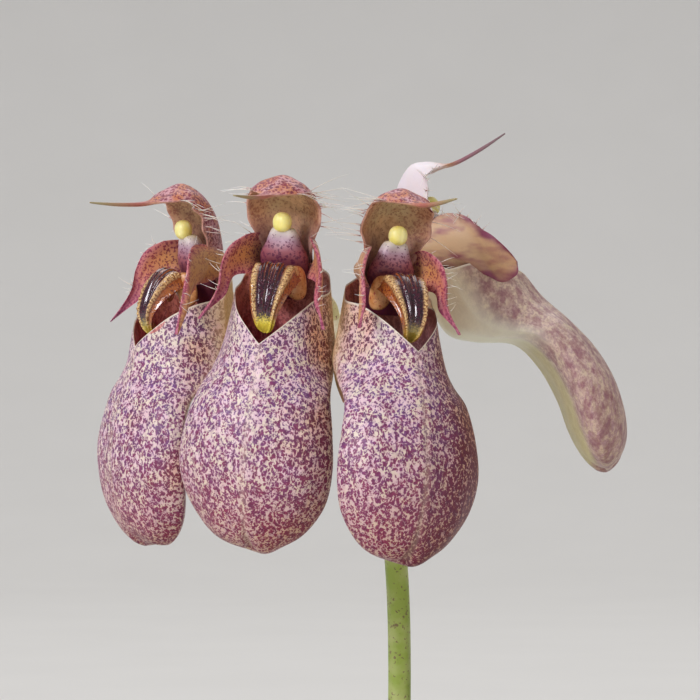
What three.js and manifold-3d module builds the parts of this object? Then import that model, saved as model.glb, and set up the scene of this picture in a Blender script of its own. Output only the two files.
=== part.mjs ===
// A potted Bulbophyllum trigonopus with an umbel of four flowers.
// Millimetres, +Z up. The origin is the centre of the pot's flat base, and the umbel faces -Y.

import * as THREE from 'three';
import { mergeVertices } from 'three/addons/utils/BufferGeometryUtils.js';
import Module from 'manifold-3d';

const wasm = await Module();
wasm.setup();

// Driving dimensions of the pot and its filling
const GAP = 0.3;
const POT_HEIGHT = 66;
const POT_BASE_RADIUS = 36;
const POT_NECK_RADIUS = 45;
const POT_RIM_RADIUS = 50;
const POT_RIM_DEPTH = 17;
const POT_FLOOR = 5;
const POT_INSIDE_BOTTOM_RADIUS = 32;
const POT_INSIDE_TOP_RADIUS = 46;
const POT_SIDES = 48;
const DRAIN_HOLE_RADIUS = 3.5;
const DRAIN_HOLE_REACH = 18;
const BARK_LEVEL = 59;
const BARK_RELIEF = 2.2;
const BARK_CHIP_SPACING = 13;
const BARK_SIDES = 36;

// Driving dimensions of the growth
const RHIZOME_RADIUS = 2.1;
const BULB_HEIGHT = 24;
const BULB_RADIUS = 6.6;
const LEAF_LENGTH = 92;
const LEAF_HALF_WIDTH = 13.5;
const LEAF_THICKNESS = 0.9;
const PETIOLE_RADIUS = 1.3;
const SCAPE_RADIUS = 1.2;
const SHEATH_STARTS = [0.13, 0.36, 0.59];
const SHEATH_LENGTH = 12;
const HUB = new THREE.Vector3(0, 0, 188);
const HUB_RADIUS = 2;
const PEDICEL_RADIUS = 0.7;
const OVARY_RADIUS = 1.45;
const SEPAL_WALL = 0.8;
const HEEL_REACH = 4.6;
const HEEL_DEPTH = 5.2;

// Each flower: where its column stands, how far it turns from -Y, how far its front is lifted and
// how far it leans sideways, how wide its pouch is for its length, how far the thread of its hood
// strays, how its left and right petals sweep forward, how high its stalk leaves the hub, and which
// way its bract hangs
const FLOWERS = [
  {
    column: [-15.8, -8.0, 194.8], yaw: -63, lift: -5.5, lean: 6, plump: 1, stray: 0, sweep: [0, -12],
    rise: 0.2, bract: -92,
  },
  {
    column: [-5.7, -17.0, 195.3], yaw: -17, lift: -8, lean: 5, plump: 0.97, stray: -1.8, sweep: [0, 0],
    rise: 0.75, bract: -40,
  },
  {
    column: [5.95, -17.5, 193.9], yaw: 26, lift: -1, lean: 3.5, plump: 0.94, stray: 1, sweep: [0, 20],
    rise: -0.25, bract: 11,
  },
  {
    column: [11.4, -2.5, 197.8], yaw: 96.5, lift: 25, lean: 3, plump: 0.9, stray: 0, sweep: [0, 0],
    rise: 0.6, bract: 60,
  },
];

// Each growth: where its bulb stands, its size beside the others, and its leaf's heading and lean
const GROWTHS = [
  { at: [-29, -10], size: 0.82, heading: 203, lean: [30, 88], leaf: 0.84 },
  { at: [-14.5, -4], size: 0.95, heading: 122, lean: [22, 84], leaf: 0.96 },
  { at: [0.5, -6.5], size: 1.0, heading: 262, lean: [34, 96], leaf: 0.92 },
  { at: [15.5, -4], size: 1.04, heading: 48, lean: [22, 86], leaf: 1.0 },
  { at: [30, 3], size: 0.9, heading: -22, lean: [30, 84], leaf: 0.86 },
];

// Points along the creeping rhizome, seen from above
const RHIZOME_TRACK = [[-37, -13], [-29, -10], [-14.5, -4], [0.5, -6.5], [15.5, -4], [30, 3], [37, 9]];

// Points along the scape, from inside the bark to the hub
const SCAPE_TRACK = [
  [4, 7, 50], [4.6, 7.6, 75], [5.6, 8, 105], [6.4, 7, 135],
  [6.4, 5, 160], [4.4, 2.6, 176], [1.2, 0.7, 185], [0, 0, 188],
];

// A number between two others
function mix(low, high, share) {
  return low + (high - low) * share;
}

// A smooth run through rows of measures: share 0 is the first row, share 1 the last
function rowAt(rows, share) {
  const place = Math.min(Math.max(share, 0), 1) * (rows.length - 1);
  const index = Math.min(Math.floor(place), rows.length - 2);
  const part = place - index;
  const pick = (number) => rows[Math.min(Math.max(number, 0), rows.length - 1)];
  return pick(index).map((value, column) => {
    const before = pick(index - 1)[column];
    const after = pick(index + 1)[column];
    const beyond = pick(index + 2)[column];
    const slope = (after - before) / 2;
    const nextSlope = (beyond - value) / 2;
    const bend = 3 * (after - value) - 2 * slope - nextSlope;
    const twist = 2 * (value - after) + slope + nextSlope;
    return value + part * (slope + part * (bend + part * twist));
  });
}

// Evenly spaced shares from 0 to 1
function shares(steps) {
  return Array.from({ length: steps + 1 }, (_, step) => step / steps);
}

// A ring of points, one for each of the sides
function ring(sides, place) {
  return Array.from({ length: sides }, (_, side) => place((2 * Math.PI * side) / sides));
}

// Six times the volume that the triangles close round, which is negative when they face inwards
function signedVolume(position, index) {
  const corner = (number) => new THREE.Vector3().fromBufferAttribute(position, index[number]);
  let total = 0;
  for (let start = 0; start < index.length; start += 3) {
    total += corner(start).dot(corner(start + 1).cross(corner(start + 2)));
  }
  return total;
}

// A closed body through rings of points that all have the same even count.
// Each end is closed by a strip across its ring, or the last ring joins the first.
// The second half of a ring is split the other way, so that both faces of a blade are split alike.
function loft(rings, joinEnds = false) {
  const count = rings[0].length;
  const half = count / 2;
  const triangles = [];
  const spans = joinEnds ? rings.length : rings.length - 1;
  for (let row = 0; row < spans; row += 1) {
    const here = row * count;
    const next = ((row + 1) % rings.length) * count;
    for (let side = 0; side < count; side += 1) {
      const after = (side + 1) % count;
      if (side < half) {
        triangles.push(here + side, here + after, next + after);
        triangles.push(here + side, next + after, next + side);
      } else {
        triangles.push(here + side, here + after, next + side);
        triangles.push(here + after, next + after, next + side);
      }
    }
  }
  if (!joinEnds) {
    const last = (rings.length - 1) * count;
    for (let side = 0; side < half - 1; side += 1) {
      const across = count - 1 - side;
      triangles.push(side + 1, side, across, side + 1, across, across - 1);
      triangles.push(last + side, last + side + 1, last + across - 1);
      triangles.push(last + side, last + across - 1, last + across);
    }
  }
  const geometry = new THREE.BufferGeometry();
  const places = rings.flat().flatMap((point) => point.toArray());
  geometry.setAttribute('position', new THREE.Float32BufferAttribute(places, 3));
  if (signedVolume(geometry.getAttribute('position'), triangles) < 0) {
    triangles.reverse();
  }
  geometry.setIndex(triangles);
  return geometry;
}

// A geometry as a solid that can be joined and cut
function solid(geometry) {
  const bare = new THREE.BufferGeometry();
  bare.setAttribute('position', geometry.getAttribute('position'));
  bare.setIndex(geometry.getIndex());
  const merged = mergeVertices(bare, 0.0005);
  const vertProperties = new Float32Array(merged.getAttribute('position').array);
  const triVerts = new Uint32Array(merged.getIndex().array);
  return new wasm.Manifold(new wasm.Mesh({ numProp: 3, vertProperties, triVerts }));
}

// A joined or cut solid as a geometry again
function shapeOf(body) {
  const mesh = body.getMesh();
  const geometry = new THREE.BufferGeometry();
  geometry.setAttribute('position', new THREE.Float32BufferAttribute(mesh.vertProperties, 3));
  geometry.setIndex(Array.from(mesh.triVerts));
  return geometry;
}

// A named piece in a finish of its own
function piece(name, geometry, color, roughness) {
  const material = new THREE.MeshStandardMaterial({ color, roughness, metalness: 0 });
  const mesh = new THREE.Mesh(geometry, material);
  mesh.name = name;
  return mesh;
}

// A smooth curve through points given as lists
function curveThrough(points) {
  return new THREE.CatmullRomCurve3(points.map((point) => new THREE.Vector3(...point)));
}

// A round section to carry along a curve
function roundSection(radius, sides) {
  const corners = ring(sides, (angle) => new THREE.Vector2(radius * Math.cos(angle), radius * Math.sin(angle)));
  return new THREE.Shape(corners);
}

// A round stem of one thickness along a curve
function stem(curve, radius, sides, steps) {
  return new THREE.ExtrudeGeometry(roundSection(radius, sides), { extrudePath: curve, steps });
}

// The point, and two directions square to the curve, at a share of its length
function crossing(curve, share) {
  const centre = curve.getPointAt(share);
  const along = curve.getTangentAt(share);
  const side = new THREE.Vector3(1, 0, 0).addScaledVector(along, -along.x).normalize();
  return { centre, side, front: along.clone().cross(side) };
}

// A ring round a curve at a share of its length
function ringRound(curve, share, radius, sides, shift = () => 0) {
  const { centre, side, front } = crossing(curve, share);
  const along = curve.getTangentAt(share);
  return ring(sides, (angle) => centre.clone()
    .addScaledVector(side, radius * Math.cos(angle))
    .addScaledVector(front, radius * Math.sin(angle))
    .addScaledVector(along, shift(angle)));
}

// A stem whose radius is given for each share of its length
function taperedStem(curve, radiusAt, sides, steps) {
  return loft(shares(steps).map((share) => ringRound(curve, share, radiusAt(share), sides)));
}

// The pot: a lathed wall with a band at the rim, and drain holes round a solid middle
function potGeometry() {
  const neck = POT_HEIGHT - POT_RIM_DEPTH;
  const profile = [
    [0, 0], [POT_BASE_RADIUS - 1, 0], [POT_BASE_RADIUS, 1],
    [POT_NECK_RADIUS, neck], [POT_RIM_RADIUS - 1.2, neck + 0.8], [POT_RIM_RADIUS - 0.6, neck + 2],
    [POT_RIM_RADIUS, POT_HEIGHT - 2], [POT_RIM_RADIUS - 1.2, POT_HEIGHT],
    [POT_INSIDE_TOP_RADIUS + 1, POT_HEIGHT], [POT_INSIDE_TOP_RADIUS, POT_HEIGHT - 1.2],
    [POT_INSIDE_BOTTOM_RADIUS, POT_FLOOR], [0, POT_FLOOR],
  ].map(([radius, height]) => new THREE.Vector2(radius, height));
  const lathe = new THREE.LatheGeometry(profile, POT_SIDES);
  lathe.rotateX(Math.PI / 2);
  let pot = solid(lathe);
  for (const turn of [0, 1, 2]) {
    const hole = new THREE.CylinderGeometry(DRAIN_HOLE_RADIUS, DRAIN_HOLE_RADIUS, 3 * POT_FLOOR, 16);
    hole.rotateX(Math.PI / 2);
    const angle = (turn * 2 * Math.PI) / 3 + Math.PI / 2;
    hole.translate(DRAIN_HOLE_REACH * Math.cos(angle), DRAIN_HOLE_REACH * Math.sin(angle), 0);
    pot = pot.subtract(solid(hole));
  }
  return shapeOf(pot);
}

// The pot's inside radius at a height
function insideRadius(height) {
  const share = (height - POT_FLOOR) / (POT_HEIGHT - 1.2 - POT_FLOOR);
  return mix(POT_INSIDE_BOTTOM_RADIUS, POT_INSIDE_TOP_RADIUS, share);
}

// The top of the bark: tilted chips, each round its own centre on a shifted grid
function barkHeight(x, y) {
  const column = Math.round(x / BARK_CHIP_SPACING);
  const row = Math.round(y / BARK_CHIP_SPACING + 0.5 * (column % 2));
  const chance = Math.sin(column * 12.9898 + row * 78.233) * 43758.5453;
  const draw = chance - Math.floor(chance);
  const turn = 2 * Math.PI * draw;
  const tilt = 0.12 * (x * Math.cos(turn) + y * Math.sin(turn));
  const lift = BARK_RELIEF * (draw - 0.5) + BARK_RELIEF * 0.4 * Math.sin(tilt * 4);
  return BARK_LEVEL + lift;
}

// The room that a stem takes, with a round end at each of the given shares
function bedAlong(curve, radius, steps, ends) {
  let bed = solid(stem(curve, radius, 8, steps));
  for (const end of ends) {
    const round = new THREE.SphereGeometry(radius * 1.05, 10, 8);
    round.translate(...curve.getPointAt(end).toArray());
    bed = bed.add(solid(round));
  }
  return bed;
}

// The bark medium, 0.3 mm clear of the pot, with the rhizome's bed and the scape's hole cut in it
function barkGeometry(rhizomeCurve, scapeCurve) {
  const bottom = POT_FLOOR + GAP;
  const edgeLevel = BARK_LEVEL - BARK_RELIEF;
  const flat = (radius, height) => ring(BARK_SIDES, (angle) => (
    new THREE.Vector3(radius * Math.cos(angle), radius * Math.sin(angle), height)));
  const bumpy = (share) => ring(BARK_SIDES, (angle) => {
    const x = share * insideRadius(edgeLevel) * Math.cos(angle);
    const y = share * insideRadius(edgeLevel) * Math.sin(angle);
    return new THREE.Vector3(x, y, barkHeight(x, y));
  });
  const rings = [
    flat(2, bottom),
    flat(insideRadius(bottom) - GAP, bottom),
    flat(insideRadius(edgeLevel) - 2 * GAP, edgeLevel),
    ...[0.92, 0.78, 0.64, 0.5, 0.36, 0.22, 0.08].map(bumpy),
  ];
  const bark = solid(loft(rings))
    .subtract(bedAlong(rhizomeCurve, RHIZOME_RADIUS + GAP, 26, [0, 1]))
    .subtract(bedAlong(scapeCurve, SCAPE_RADIUS + GAP, 24, [0]));
  return shapeOf(bark);
}

// A pseudobulb: an egg with five blunt angles, standing on a narrow foot
function bulbGeometry(growth, foot) {
  const sides = 10;
  const rings = shares(9).map((share) => {
    const belly = Math.sin(Math.PI * (0.1 + 0.84 * share ** 0.85)) ** 0.8;
    const wide = BULB_RADIUS * growth.size * belly;
    return ring(sides, (angle) => {
      const radius = wide * (1 + 0.06 * Math.cos(5 * angle));
      const height = foot + BULB_HEIGHT * growth.size * share;
      return new THREE.Vector3(
        growth.at[0] + radius * Math.cos(angle), growth.at[1] + radius * Math.sin(angle), height);
    });
  });
  return loft(rings);
}

// A leaf: a channelled stalk that widens into a thick blade, folded along its midrib, with a soft
// wave along its edges, arching away from the bulb
function leafGeometry(growth, start) {
  const steps = 15;
  const halves = 2;
  const heading = THREE.MathUtils.degToRad(growth.heading);
  const outward = new THREE.Vector3(Math.cos(heading), Math.sin(heading), 0);
  const sideways = new THREE.Vector3(-Math.sin(heading), Math.cos(heading), 0);
  const up = new THREE.Vector3(0, 0, 1);
  const length = LEAF_LENGTH * growth.leaf;
  // Half width beside the widest, and thickness beside the blade's, from the foot to the tip
  const outline = [[0.1, 2.8], [0.1, 2.5], [0.42, 1.3], [0.8, 1], [0.96, 1], [1, 1], [0.88, 1], [0.32, 0.8]];
  const rings = [];
  const centre = start.clone();
  for (const share of shares(steps)) {
    const lean = THREE.MathUtils.degToRad(mix(growth.lean[0], growth.lean[1], share ** 0.8));
    const along = outward.clone().multiplyScalar(Math.sin(lean)).addScaledVector(up, Math.cos(lean));
    const above = sideways.clone().cross(along).negate();
    if (share > 0) {
      centre.addScaledVector(along, length / steps);
    }
    const [wide, thick] = rowAt(outline, share);
    const width = LEAF_HALF_WIDTH * growth.leaf * wide;
    const thickness = Math.max(LEAF_THICKNESS * thick, 0.7);
    const blade = Math.min(Math.max((share - 0.15) / 0.2, 0), 1);
    const place = (across, lift) => {
      const fold = 0.22 * Math.abs(across) * width;
      const wave = 0.9 * blade * across ** 2 * Math.sin(11 * share + 2 * Math.sign(across) + growth.heading);
      return centre.clone()
        .addScaledVector(sideways, across * width)
        .addScaledVector(above, fold + wave + lift);
    };
    const rows = Array.from({ length: 2 * halves + 1 }, (_, number) => (number - halves) / halves);
    const top = rows.map((across) => place(across, thickness / 2));
    const under = rows.map((across) => place(across, -thickness / 2)).reverse();
    rings.push([...top, ...under]);
  }
  return loft(rings);
}

// A sheathing bract: a thin sleeve round the scape whose mouth is drawn out to a point
function sheathGeometry(curve, start, length) {
  const sides = 12;
  const reach = length / curve.getLength();
  const inner = SCAPE_RADIUS + GAP;
  const wall = 0.6;
  const point = (share) => (angle) => 4 * share * Math.max(Math.cos(angle - 0.7), 0) ** 2;
  const levels = [0, 0.45, 1];
  const outside = levels.map((share) => (
    ringRound(curve, start + reach * share, inner + wall + 0.9 * share ** 2, sides, point(share))));
  const inside = levels.map((share) => (
    ringRound(curve, start + reach * share, inner + 0.9 * share ** 2, sides, point(share))));
  return loft([...outside, ...inside.reverse()], true);
}

// A point of a flower: x to the flower's right, forward away from its back, height above its column's base
function inFlower(x, forward, height) {
  return new THREE.Vector3(x, -forward, height);
}

// The pouch from its tip up to its rim: height, front reach, back reach, half width
const POUCH_ROWS = [
  [-29.0, 5.7, 4.7, 1.0],
  [-28.2, 6.9, 3.9, 3.7],
  [-26.6, 8.1, 3.3, 5.7],
  [-23.8, 9.0, 3.2, 7.5],
  [-20.3, 9.4, 3.5, 8.2],
  [-16.5, 9.0, 3.2, 7.8],
  [-13.2, 7.9, 1.8, 7.0],
  [-11.3, 7.0, -1.7, 6.4],
  [-9.4, 6.2, -4.1, 6.0],
  [-6.5, 5.6, -4.6, 5.4],
  [-3.5, 5.2, -4.6, 4.9],
  [-1.0, 4.9, -4.5, 4.5],
];
const NOTCH_SHARE = 0.775;
const SIDE_RIM_SHARE = 0.915;
const EDGE_PLACE = 0.28;

// A ring of the pouch. Its front is cut down to the V-shaped notch, and its back reaches the hood.
function pouchRing(flower, share, inset, sides) {
  return ring(sides, (angle) => {
    const front = Math.cos(angle) > 0;
    const spread = Math.abs(Math.sin(angle));
    const rim = front ? mix(NOTCH_SHARE, SIDE_RIM_SHARE, spread) : mix(1, SIDE_RIM_SHARE, spread);
    const [height, reach, back, wide] = rowAt(POUCH_ROWS, share - (1 - rim) * share ** 3);
    const edge = mix(back, reach, EDGE_PLACE);
    const depth = front ? reach - inset - edge : edge - back - inset;
    const x = (wide * flower.plump - inset) * Math.sin(angle);
    return inFlower(x, edge + depth * Math.cos(angle), height);
  });
}

// The pouch: two lateral sepals grown together, open at the top as far down as its heel
function pouchGeometry(flower) {
  const sides = 20;
  const outside = [0, 0.045, 0.12, 0.24, 0.37, 0.49, 0.58, 0.66, 0.74, 0.86, 1];
  const inside = [1, 0.86, 0.76, 0.69];
  return loft([
    ...outside.map((share) => pouchRing(flower, share, 0, sides)),
    ...inside.map((share) => pouchRing(flower, share, SEPAL_WALL * mix(1.6, 1, share), sides)),
  ]);
}

// A blade along a spine, bowed across it like a trough that opens downwards or to the front.
// Each row holds forward, height, half width, bow, thickness. Ridges rise from the outer face.
// The bow goes to the spine's inner side, or in the one direction that droop gives.
function bowedBlade(rows, steps, halves, { ridgeAt = () => 0, stray = 0, droop = null }) {
  const rings = shares(steps).map((share) => {
    const [forward, height, wide, bow, thick] = rowAt(rows, share);
    const [forwardAfter, heightAfter] = rowAt(rows, Math.min(share + 0.01, 1));
    const [forwardBefore, heightBefore] = rowAt(rows, Math.max(share - 0.01, 0));
    const run = new THREE.Vector2(forwardAfter - forwardBefore, heightAfter - heightBefore).normalize();
    const inner = new THREE.Vector2(run.y, -run.x);
    const bent = droop || inner;
    const sway = stray * share ** 4;
    const place = (across, sink) => {
      const slope = new THREE.Vector2(-2 * bow * across, wide).normalize();
      const sag = bow * across ** 2;
      const x = sway + wide * across + sink * slope.x;
      const inset = sink * slope.y;
      return inFlower(x, forward + sag * bent.x + inset * inner.x, height + sag * bent.y + inset * inner.y);
    };
    const acrossRow = Array.from({ length: 2 * halves + 1 }, (_, number) => (number - halves) / halves);
    const outerFace = acrossRow.map((across) => place(across, -ridgeAt(share, across)));
    const innerFace = acrossRow.map((across) => place(across, thick)).reverse();
    return [...outerFace, ...innerFace];
  });
  return loft(rings);
}

// The hood's middle line from its foot over the dome to the thread
const HOOD_ROWS = [
  [-4.5, -0.6, 2.5, 1.6, 0.8],
  [-4.3, 2.0, 3.0, 2.8, 0.8],
  [-3.7, 4.7, 3.9, 3.1, 0.8],
  [-2.3, 7.0, 3.9, 2.6, 0.8],
  [-0.3, 8.3, 3.6, 2.1, 0.8],
  [1.3, 8.0, 3.1, 1.2, 0.8],
  [2.4, 7.4, 2.4, 0.6, 0.8],
  [3.1, 7.0, 1.4, 0.2, 0.8],
  [3.9, 6.8, 0.6, 0, 0.7],
  [5.2, 6.8, 0.42, 0, 0.65],
  [7.6, 7.0, 0.36, 0, 0.6],
  [10.2, 7.3, 0.32, 0, 0.6],
];

// The lip's middle line from its hinge over the saddle to the tongue's tip
const LIP_ROWS = [
  [0.75, -1.3, 2.0, 1.3, 0.7],
  [1.2, -0.5, 2.4, 1.8, 0.7],
  [2.1, -0.1, 2.6, 2.1, 0.8],
  [3.2, -0.8, 2.4, 1.9, 0.9],
  [4.2, -2.5, 1.9, 1.2, 1.0],
  [4.8, -4.3, 1.5, 0.7, 1.0],
  [4.6, -5.9, 1.15, 0.4, 1.0],
  [3.9, -7.1, 0.7, 0.2, 0.9],
];
const LIP_DROOP = new THREE.Vector2(-0.45, -0.89);

// Two keels run along the lip, one on each side of its middle
function keelHeight(share, across) {
  return 0.4 * Math.sin(Math.PI * share) * Math.exp(-(((Math.abs(across) - 0.6) / 0.25) ** 2));
}

// The lip: a thick tongue over a saddle whose flanks droop back and down
function lipGeometry() {
  return bowedBlade(LIP_ROWS, 9, 3, { ridgeAt: keelHeight, droop: LIP_DROOP });
}

// A petal in its own upright plane: outer edge then inner edge, each as distance out and height
const PETAL_ROWS = [
  [0.0, 2.6, 0.0, -1.5],
  [1.6, 2.5, 1.1, -1.5],
  [3.3, 1.4, 2.3, -1.6],
  [4.3, -0.6, 3.1, -2.3],
  [4.8, -2.6, 3.9, -3.6],
  [5.9, -4.3, 5.4, -4.8],
  [7.2, -5.9, 6.8, -6.2],
];
const PETAL_FOOT = 2.9;
const PETAL_FOOT_FORWARD = -0.5;
const PETAL_HEADING = 60;
const PETAL_THICKNESS = 0.6;

// A sickle-shaped petal that leans out and forward from the column's side
function petalGeometry(side, sweep) {
  const heading = THREE.MathUtils.degToRad(PETAL_HEADING + sweep);
  const rings = shares(9).map((share) => {
    const [outerOut, outerHeight, innerOut, innerHeight] = rowAt(PETAL_ROWS, share);
    const place = (across, shift) => {
      const out = mix(innerOut, outerOut, across);
      const cup = shift - 0.5 * Math.sin(Math.PI * across) * (1 - share);
      const x = PETAL_FOOT + out * Math.cos(heading) - cup * Math.sin(heading);
      const forward = PETAL_FOOT_FORWARD + out * Math.sin(heading) + cup * Math.cos(heading);
      return inFlower(side * x, forward, mix(innerHeight, outerHeight, across));
    };
    const acrossRow = shares(4);
    const face = acrossRow.map((across) => place(across, PETAL_THICKNESS / 2));
    const back = acrossRow.map((across) => place(across, -PETAL_THICKNESS / 2)).reverse();
    return [...face, ...back];
  });
  return loft(rings);
}

// The column: a stout body from the pouch's back wall up to the anther
const COLUMN_ROWS = [
  [-2.6, -4.0, 1.9, 0.85],
  [-1.9, -2.2, 1.85, 1.1],
  [-1.2, 0, 1.85, 1.35],
  [-0.75, 1.6, 1.65, 1.15],
  [-0.4, 2.3, 1.1, 0.75],
];

function columnGeometry() {
  return loft(shares(6).map((share) => {
    const [forward, height, wide, deep] = rowAt(COLUMN_ROWS, share);
    return ring(10, (angle) => inFlower(wide * Math.cos(angle), forward + deep * Math.sin(angle), height));
  }));
}

// The anther cap: a small round cap on top of the column
function antherGeometry() {
  const cap = new THREE.SphereGeometry(1, 10, 7);
  cap.scale(0.95, 0.8, 1);
  cap.translate(0, 0.1, 3.6);
  return cap;
}

// The pieces of one flower, in a group that stands and turns at its column
function flowerGroup(flower, name) {
  const group = new THREE.Group();
  group.position.set(...flower.column);
  const lift = THREE.MathUtils.degToRad(flower.lift);
  const yaw = THREE.MathUtils.degToRad(flower.yaw);
  const lean = THREE.MathUtils.degToRad(flower.lean);
  group.rotation.set(-lift, lean, yaw, 'ZXY');
  group.add(
    piece(`${name}_pouch`, pouchGeometry(flower), '#c99aa0', 0.45),
    piece(`${name}_hood`, bowedBlade(HOOD_ROWS, 13, 3, { stray: flower.stray }), '#c48a86', 0.5),
    piece(`${name}_petal_left`, petalGeometry(-1, flower.sweep[0]), '#a8486c', 0.5),
    piece(`${name}_petal_right`, petalGeometry(1, flower.sweep[1]), '#a8486c', 0.5),
    piece(`${name}_lip`, lipGeometry(), '#5a1428', 0.2),
    piece(`${name}_column`, columnGeometry(), '#e4cfd6', 0.45),
    piece(`${name}_anther`, antherGeometry(), '#f3ea7a', 0.4),
  );
  group.updateMatrixWorld();
  return group;
}

// The stalk of one flower with its ovary, from the hub to the pouch's heel
function pedicelGeometry(flower, group) {
  const seat = inFlower(0, -HEEL_REACH - GAP, -HEEL_DEPTH).applyMatrix4(group.matrixWorld);
  const away = inFlower(0, -1, 0.1).transformDirection(group.matrixWorld);
  const outward = seat.clone().sub(HUB).normalize().add(new THREE.Vector3(0, 0, flower.rise)).normalize();
  const start = HUB.clone().addScaledVector(outward, HUB_RADIUS + GAP);
  const early = start.clone().addScaledVector(outward, 2);
  const late = seat.clone().addScaledVector(away, 3);
  const curve = new THREE.CatmullRomCurve3([start, early, late, seat]);
  const radiusAt = (share) => mix(PEDICEL_RADIUS, OVARY_RADIUS, THREE.MathUtils.smoothstep(share, 0.3, 0.8));
  return taperedStem(curve, radiusAt, 8, 8);
}

// A floral bract: a small pointed scale that hangs from the hub under its stalk
function bractGeometry(heading) {
  const turn = THREE.MathUtils.degToRad(heading);
  const outward = new THREE.Vector3(Math.sin(turn), -Math.cos(turn), 0);
  const sideways = new THREE.Vector3(Math.cos(turn), Math.sin(turn), 0);
  const rows = [[2.6, -1.7, 0.65], [3.6, -2.3, 1.05], [4.3, -3.8, 1.1], [4.6, -5.5, 0.8], [4.7, -7.2, 0.35]];
  const thickness = 0.6;
  const rings = shares(6).map((share) => {
    const [reach, height, wide] = rowAt(rows, share);
    const place = (across, shift) => HUB.clone()
      .addScaledVector(outward, reach + shift - 0.3 * across ** 2)
      .addScaledVector(sideways, across * wide)
      .add(new THREE.Vector3(0, 0, height + shift));
    const face = [-1, 0, 1].map((across) => place(across, 0));
    const back = [1, 0, -1].map((across) => place(across, -thickness));
    return [...face, ...back];
  });
  return loft(rings);
}

// The whole plant in its pot
function pottedOrchid() {
  const plant = new THREE.Group();
  const rhizomeCurve = curveThrough(RHIZOME_TRACK.map(([x, y]) => [x, y, BARK_LEVEL + 0.8]));
  const scapeCurve = curveThrough(SCAPE_TRACK);

  plant.add(piece('pot', potGeometry(), '#b5623c', 0.85));
  plant.add(piece('bark', barkGeometry(rhizomeCurve, scapeCurve), '#5d4030', 0.95));
  plant.add(piece('rhizome', stem(rhizomeCurve, RHIZOME_RADIUS, 8, 26), '#8a8a4a', 0.7));

  const bulbFoot = BARK_LEVEL + 0.8 + RHIZOME_RADIUS + GAP;
  GROWTHS.forEach((growth, number) => {
    const top = bulbFoot + BULB_HEIGHT * growth.size;
    const tilt = Math.sin(THREE.MathUtils.degToRad(growth.lean[0]));
    const leafStart = new THREE.Vector3(growth.at[0], growth.at[1], top + GAP + PETIOLE_RADIUS * tilt);
    plant.add(piece(`pseudobulb_${number + 1}`, bulbGeometry(growth, bulbFoot), '#7f9a3c', 0.4));
    plant.add(piece(`leaf_${number + 1}`, leafGeometry(growth, leafStart), '#3f7a2e', 0.4));
  });

  const hub = new THREE.SphereGeometry(HUB_RADIUS, 12, 8);
  hub.translate(HUB.x, HUB.y, HUB.z);
  const scape = solid(stem(scapeCurve, SCAPE_RADIUS, 8, 24)).add(solid(hub));
  plant.add(piece('scape', shapeOf(scape), '#8f9a55', 0.5));
  SHEATH_STARTS.forEach((start, number) => {
    plant.add(piece(`sheath_${number + 1}`, sheathGeometry(scapeCurve, start, SHEATH_LENGTH), '#b7a06a', 0.7));
  });

  FLOWERS.forEach((flower, number) => {
    const name = `flower_${number + 1}`;
    const group = flowerGroup(flower, name);
    plant.add(group);
    plant.add(piece(`${name}_pedicel`, pedicelGeometry(flower, group), '#cdb98a', 0.5));
    plant.add(piece(`${name}_bract`, bractGeometry(flower.bract), '#c9ab8c', 0.6));
  });
  return plant;
}

export default pottedOrchid();
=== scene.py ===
# %% [markdown]
# # A potted orchid in flower
# The real thing is a small orchid grown for its umbel of bag-shaped, spotted flowers. This lesson
# builds it piece by piece: each surface is a formula in two parameters, worked out as whole arrays,
# and each finish is a small node tree that starts from what the real surface is.
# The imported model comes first, because it says where every piece belongs.

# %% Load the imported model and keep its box
import math

import bpy
import numpy as np
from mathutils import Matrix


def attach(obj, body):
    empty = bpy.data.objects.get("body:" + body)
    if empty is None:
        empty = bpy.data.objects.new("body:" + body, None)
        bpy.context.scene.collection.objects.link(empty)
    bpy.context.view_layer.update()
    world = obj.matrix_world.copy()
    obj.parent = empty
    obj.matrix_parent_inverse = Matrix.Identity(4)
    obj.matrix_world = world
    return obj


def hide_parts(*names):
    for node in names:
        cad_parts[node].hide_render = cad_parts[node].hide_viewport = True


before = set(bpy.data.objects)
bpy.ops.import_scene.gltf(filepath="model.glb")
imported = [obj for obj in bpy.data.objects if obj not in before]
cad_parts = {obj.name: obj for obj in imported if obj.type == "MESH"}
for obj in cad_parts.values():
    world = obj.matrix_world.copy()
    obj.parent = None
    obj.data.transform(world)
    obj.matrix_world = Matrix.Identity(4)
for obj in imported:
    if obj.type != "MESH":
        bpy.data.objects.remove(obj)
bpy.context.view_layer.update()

print("nodes in the packed model:", len(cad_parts))

# %% [markdown]
# ## Tools for numbers
# Sizes are written in millimetres and become metres when a mesh is made. Colours are written as
# sRGB hex values, the way a photograph holds them, and one function turns them to linear light.
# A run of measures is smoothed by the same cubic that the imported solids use, so both agree.

# %% Numbers
MM = 0.001
UP = np.array([0.0, 0.0, 1.0])


def linear(code):
    """An sRGB hex colour as linear red, green, blue and a full alpha."""
    shares = [int(code[place:place + 2], 16) / 255 for place in (1, 3, 5)]
    return [s / 12.92 if s <= 0.04045 else ((s + 0.055) / 1.055) ** 2.4 for s in shares] + [1.0]


def ease(low, high, value):
    """0 below low, 1 above high, and the smooth cubic 3t^2 - 2t^3 between them."""
    t = np.clip((value - low) / (high - low), 0, 1)
    return t * t * (3 - 2 * t)


def mix(low, high, share):
    """The straight blend low + (high - low) * share."""
    return low + (high - low) * share


def unit(vector):
    """The vector at length one."""
    return vector / np.linalg.norm(vector)


def bump(centre, width, value):
    """A bell exp(-((value - centre) / width)^2)."""
    return np.exp(-(((value - centre) / width) ** 2))


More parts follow.
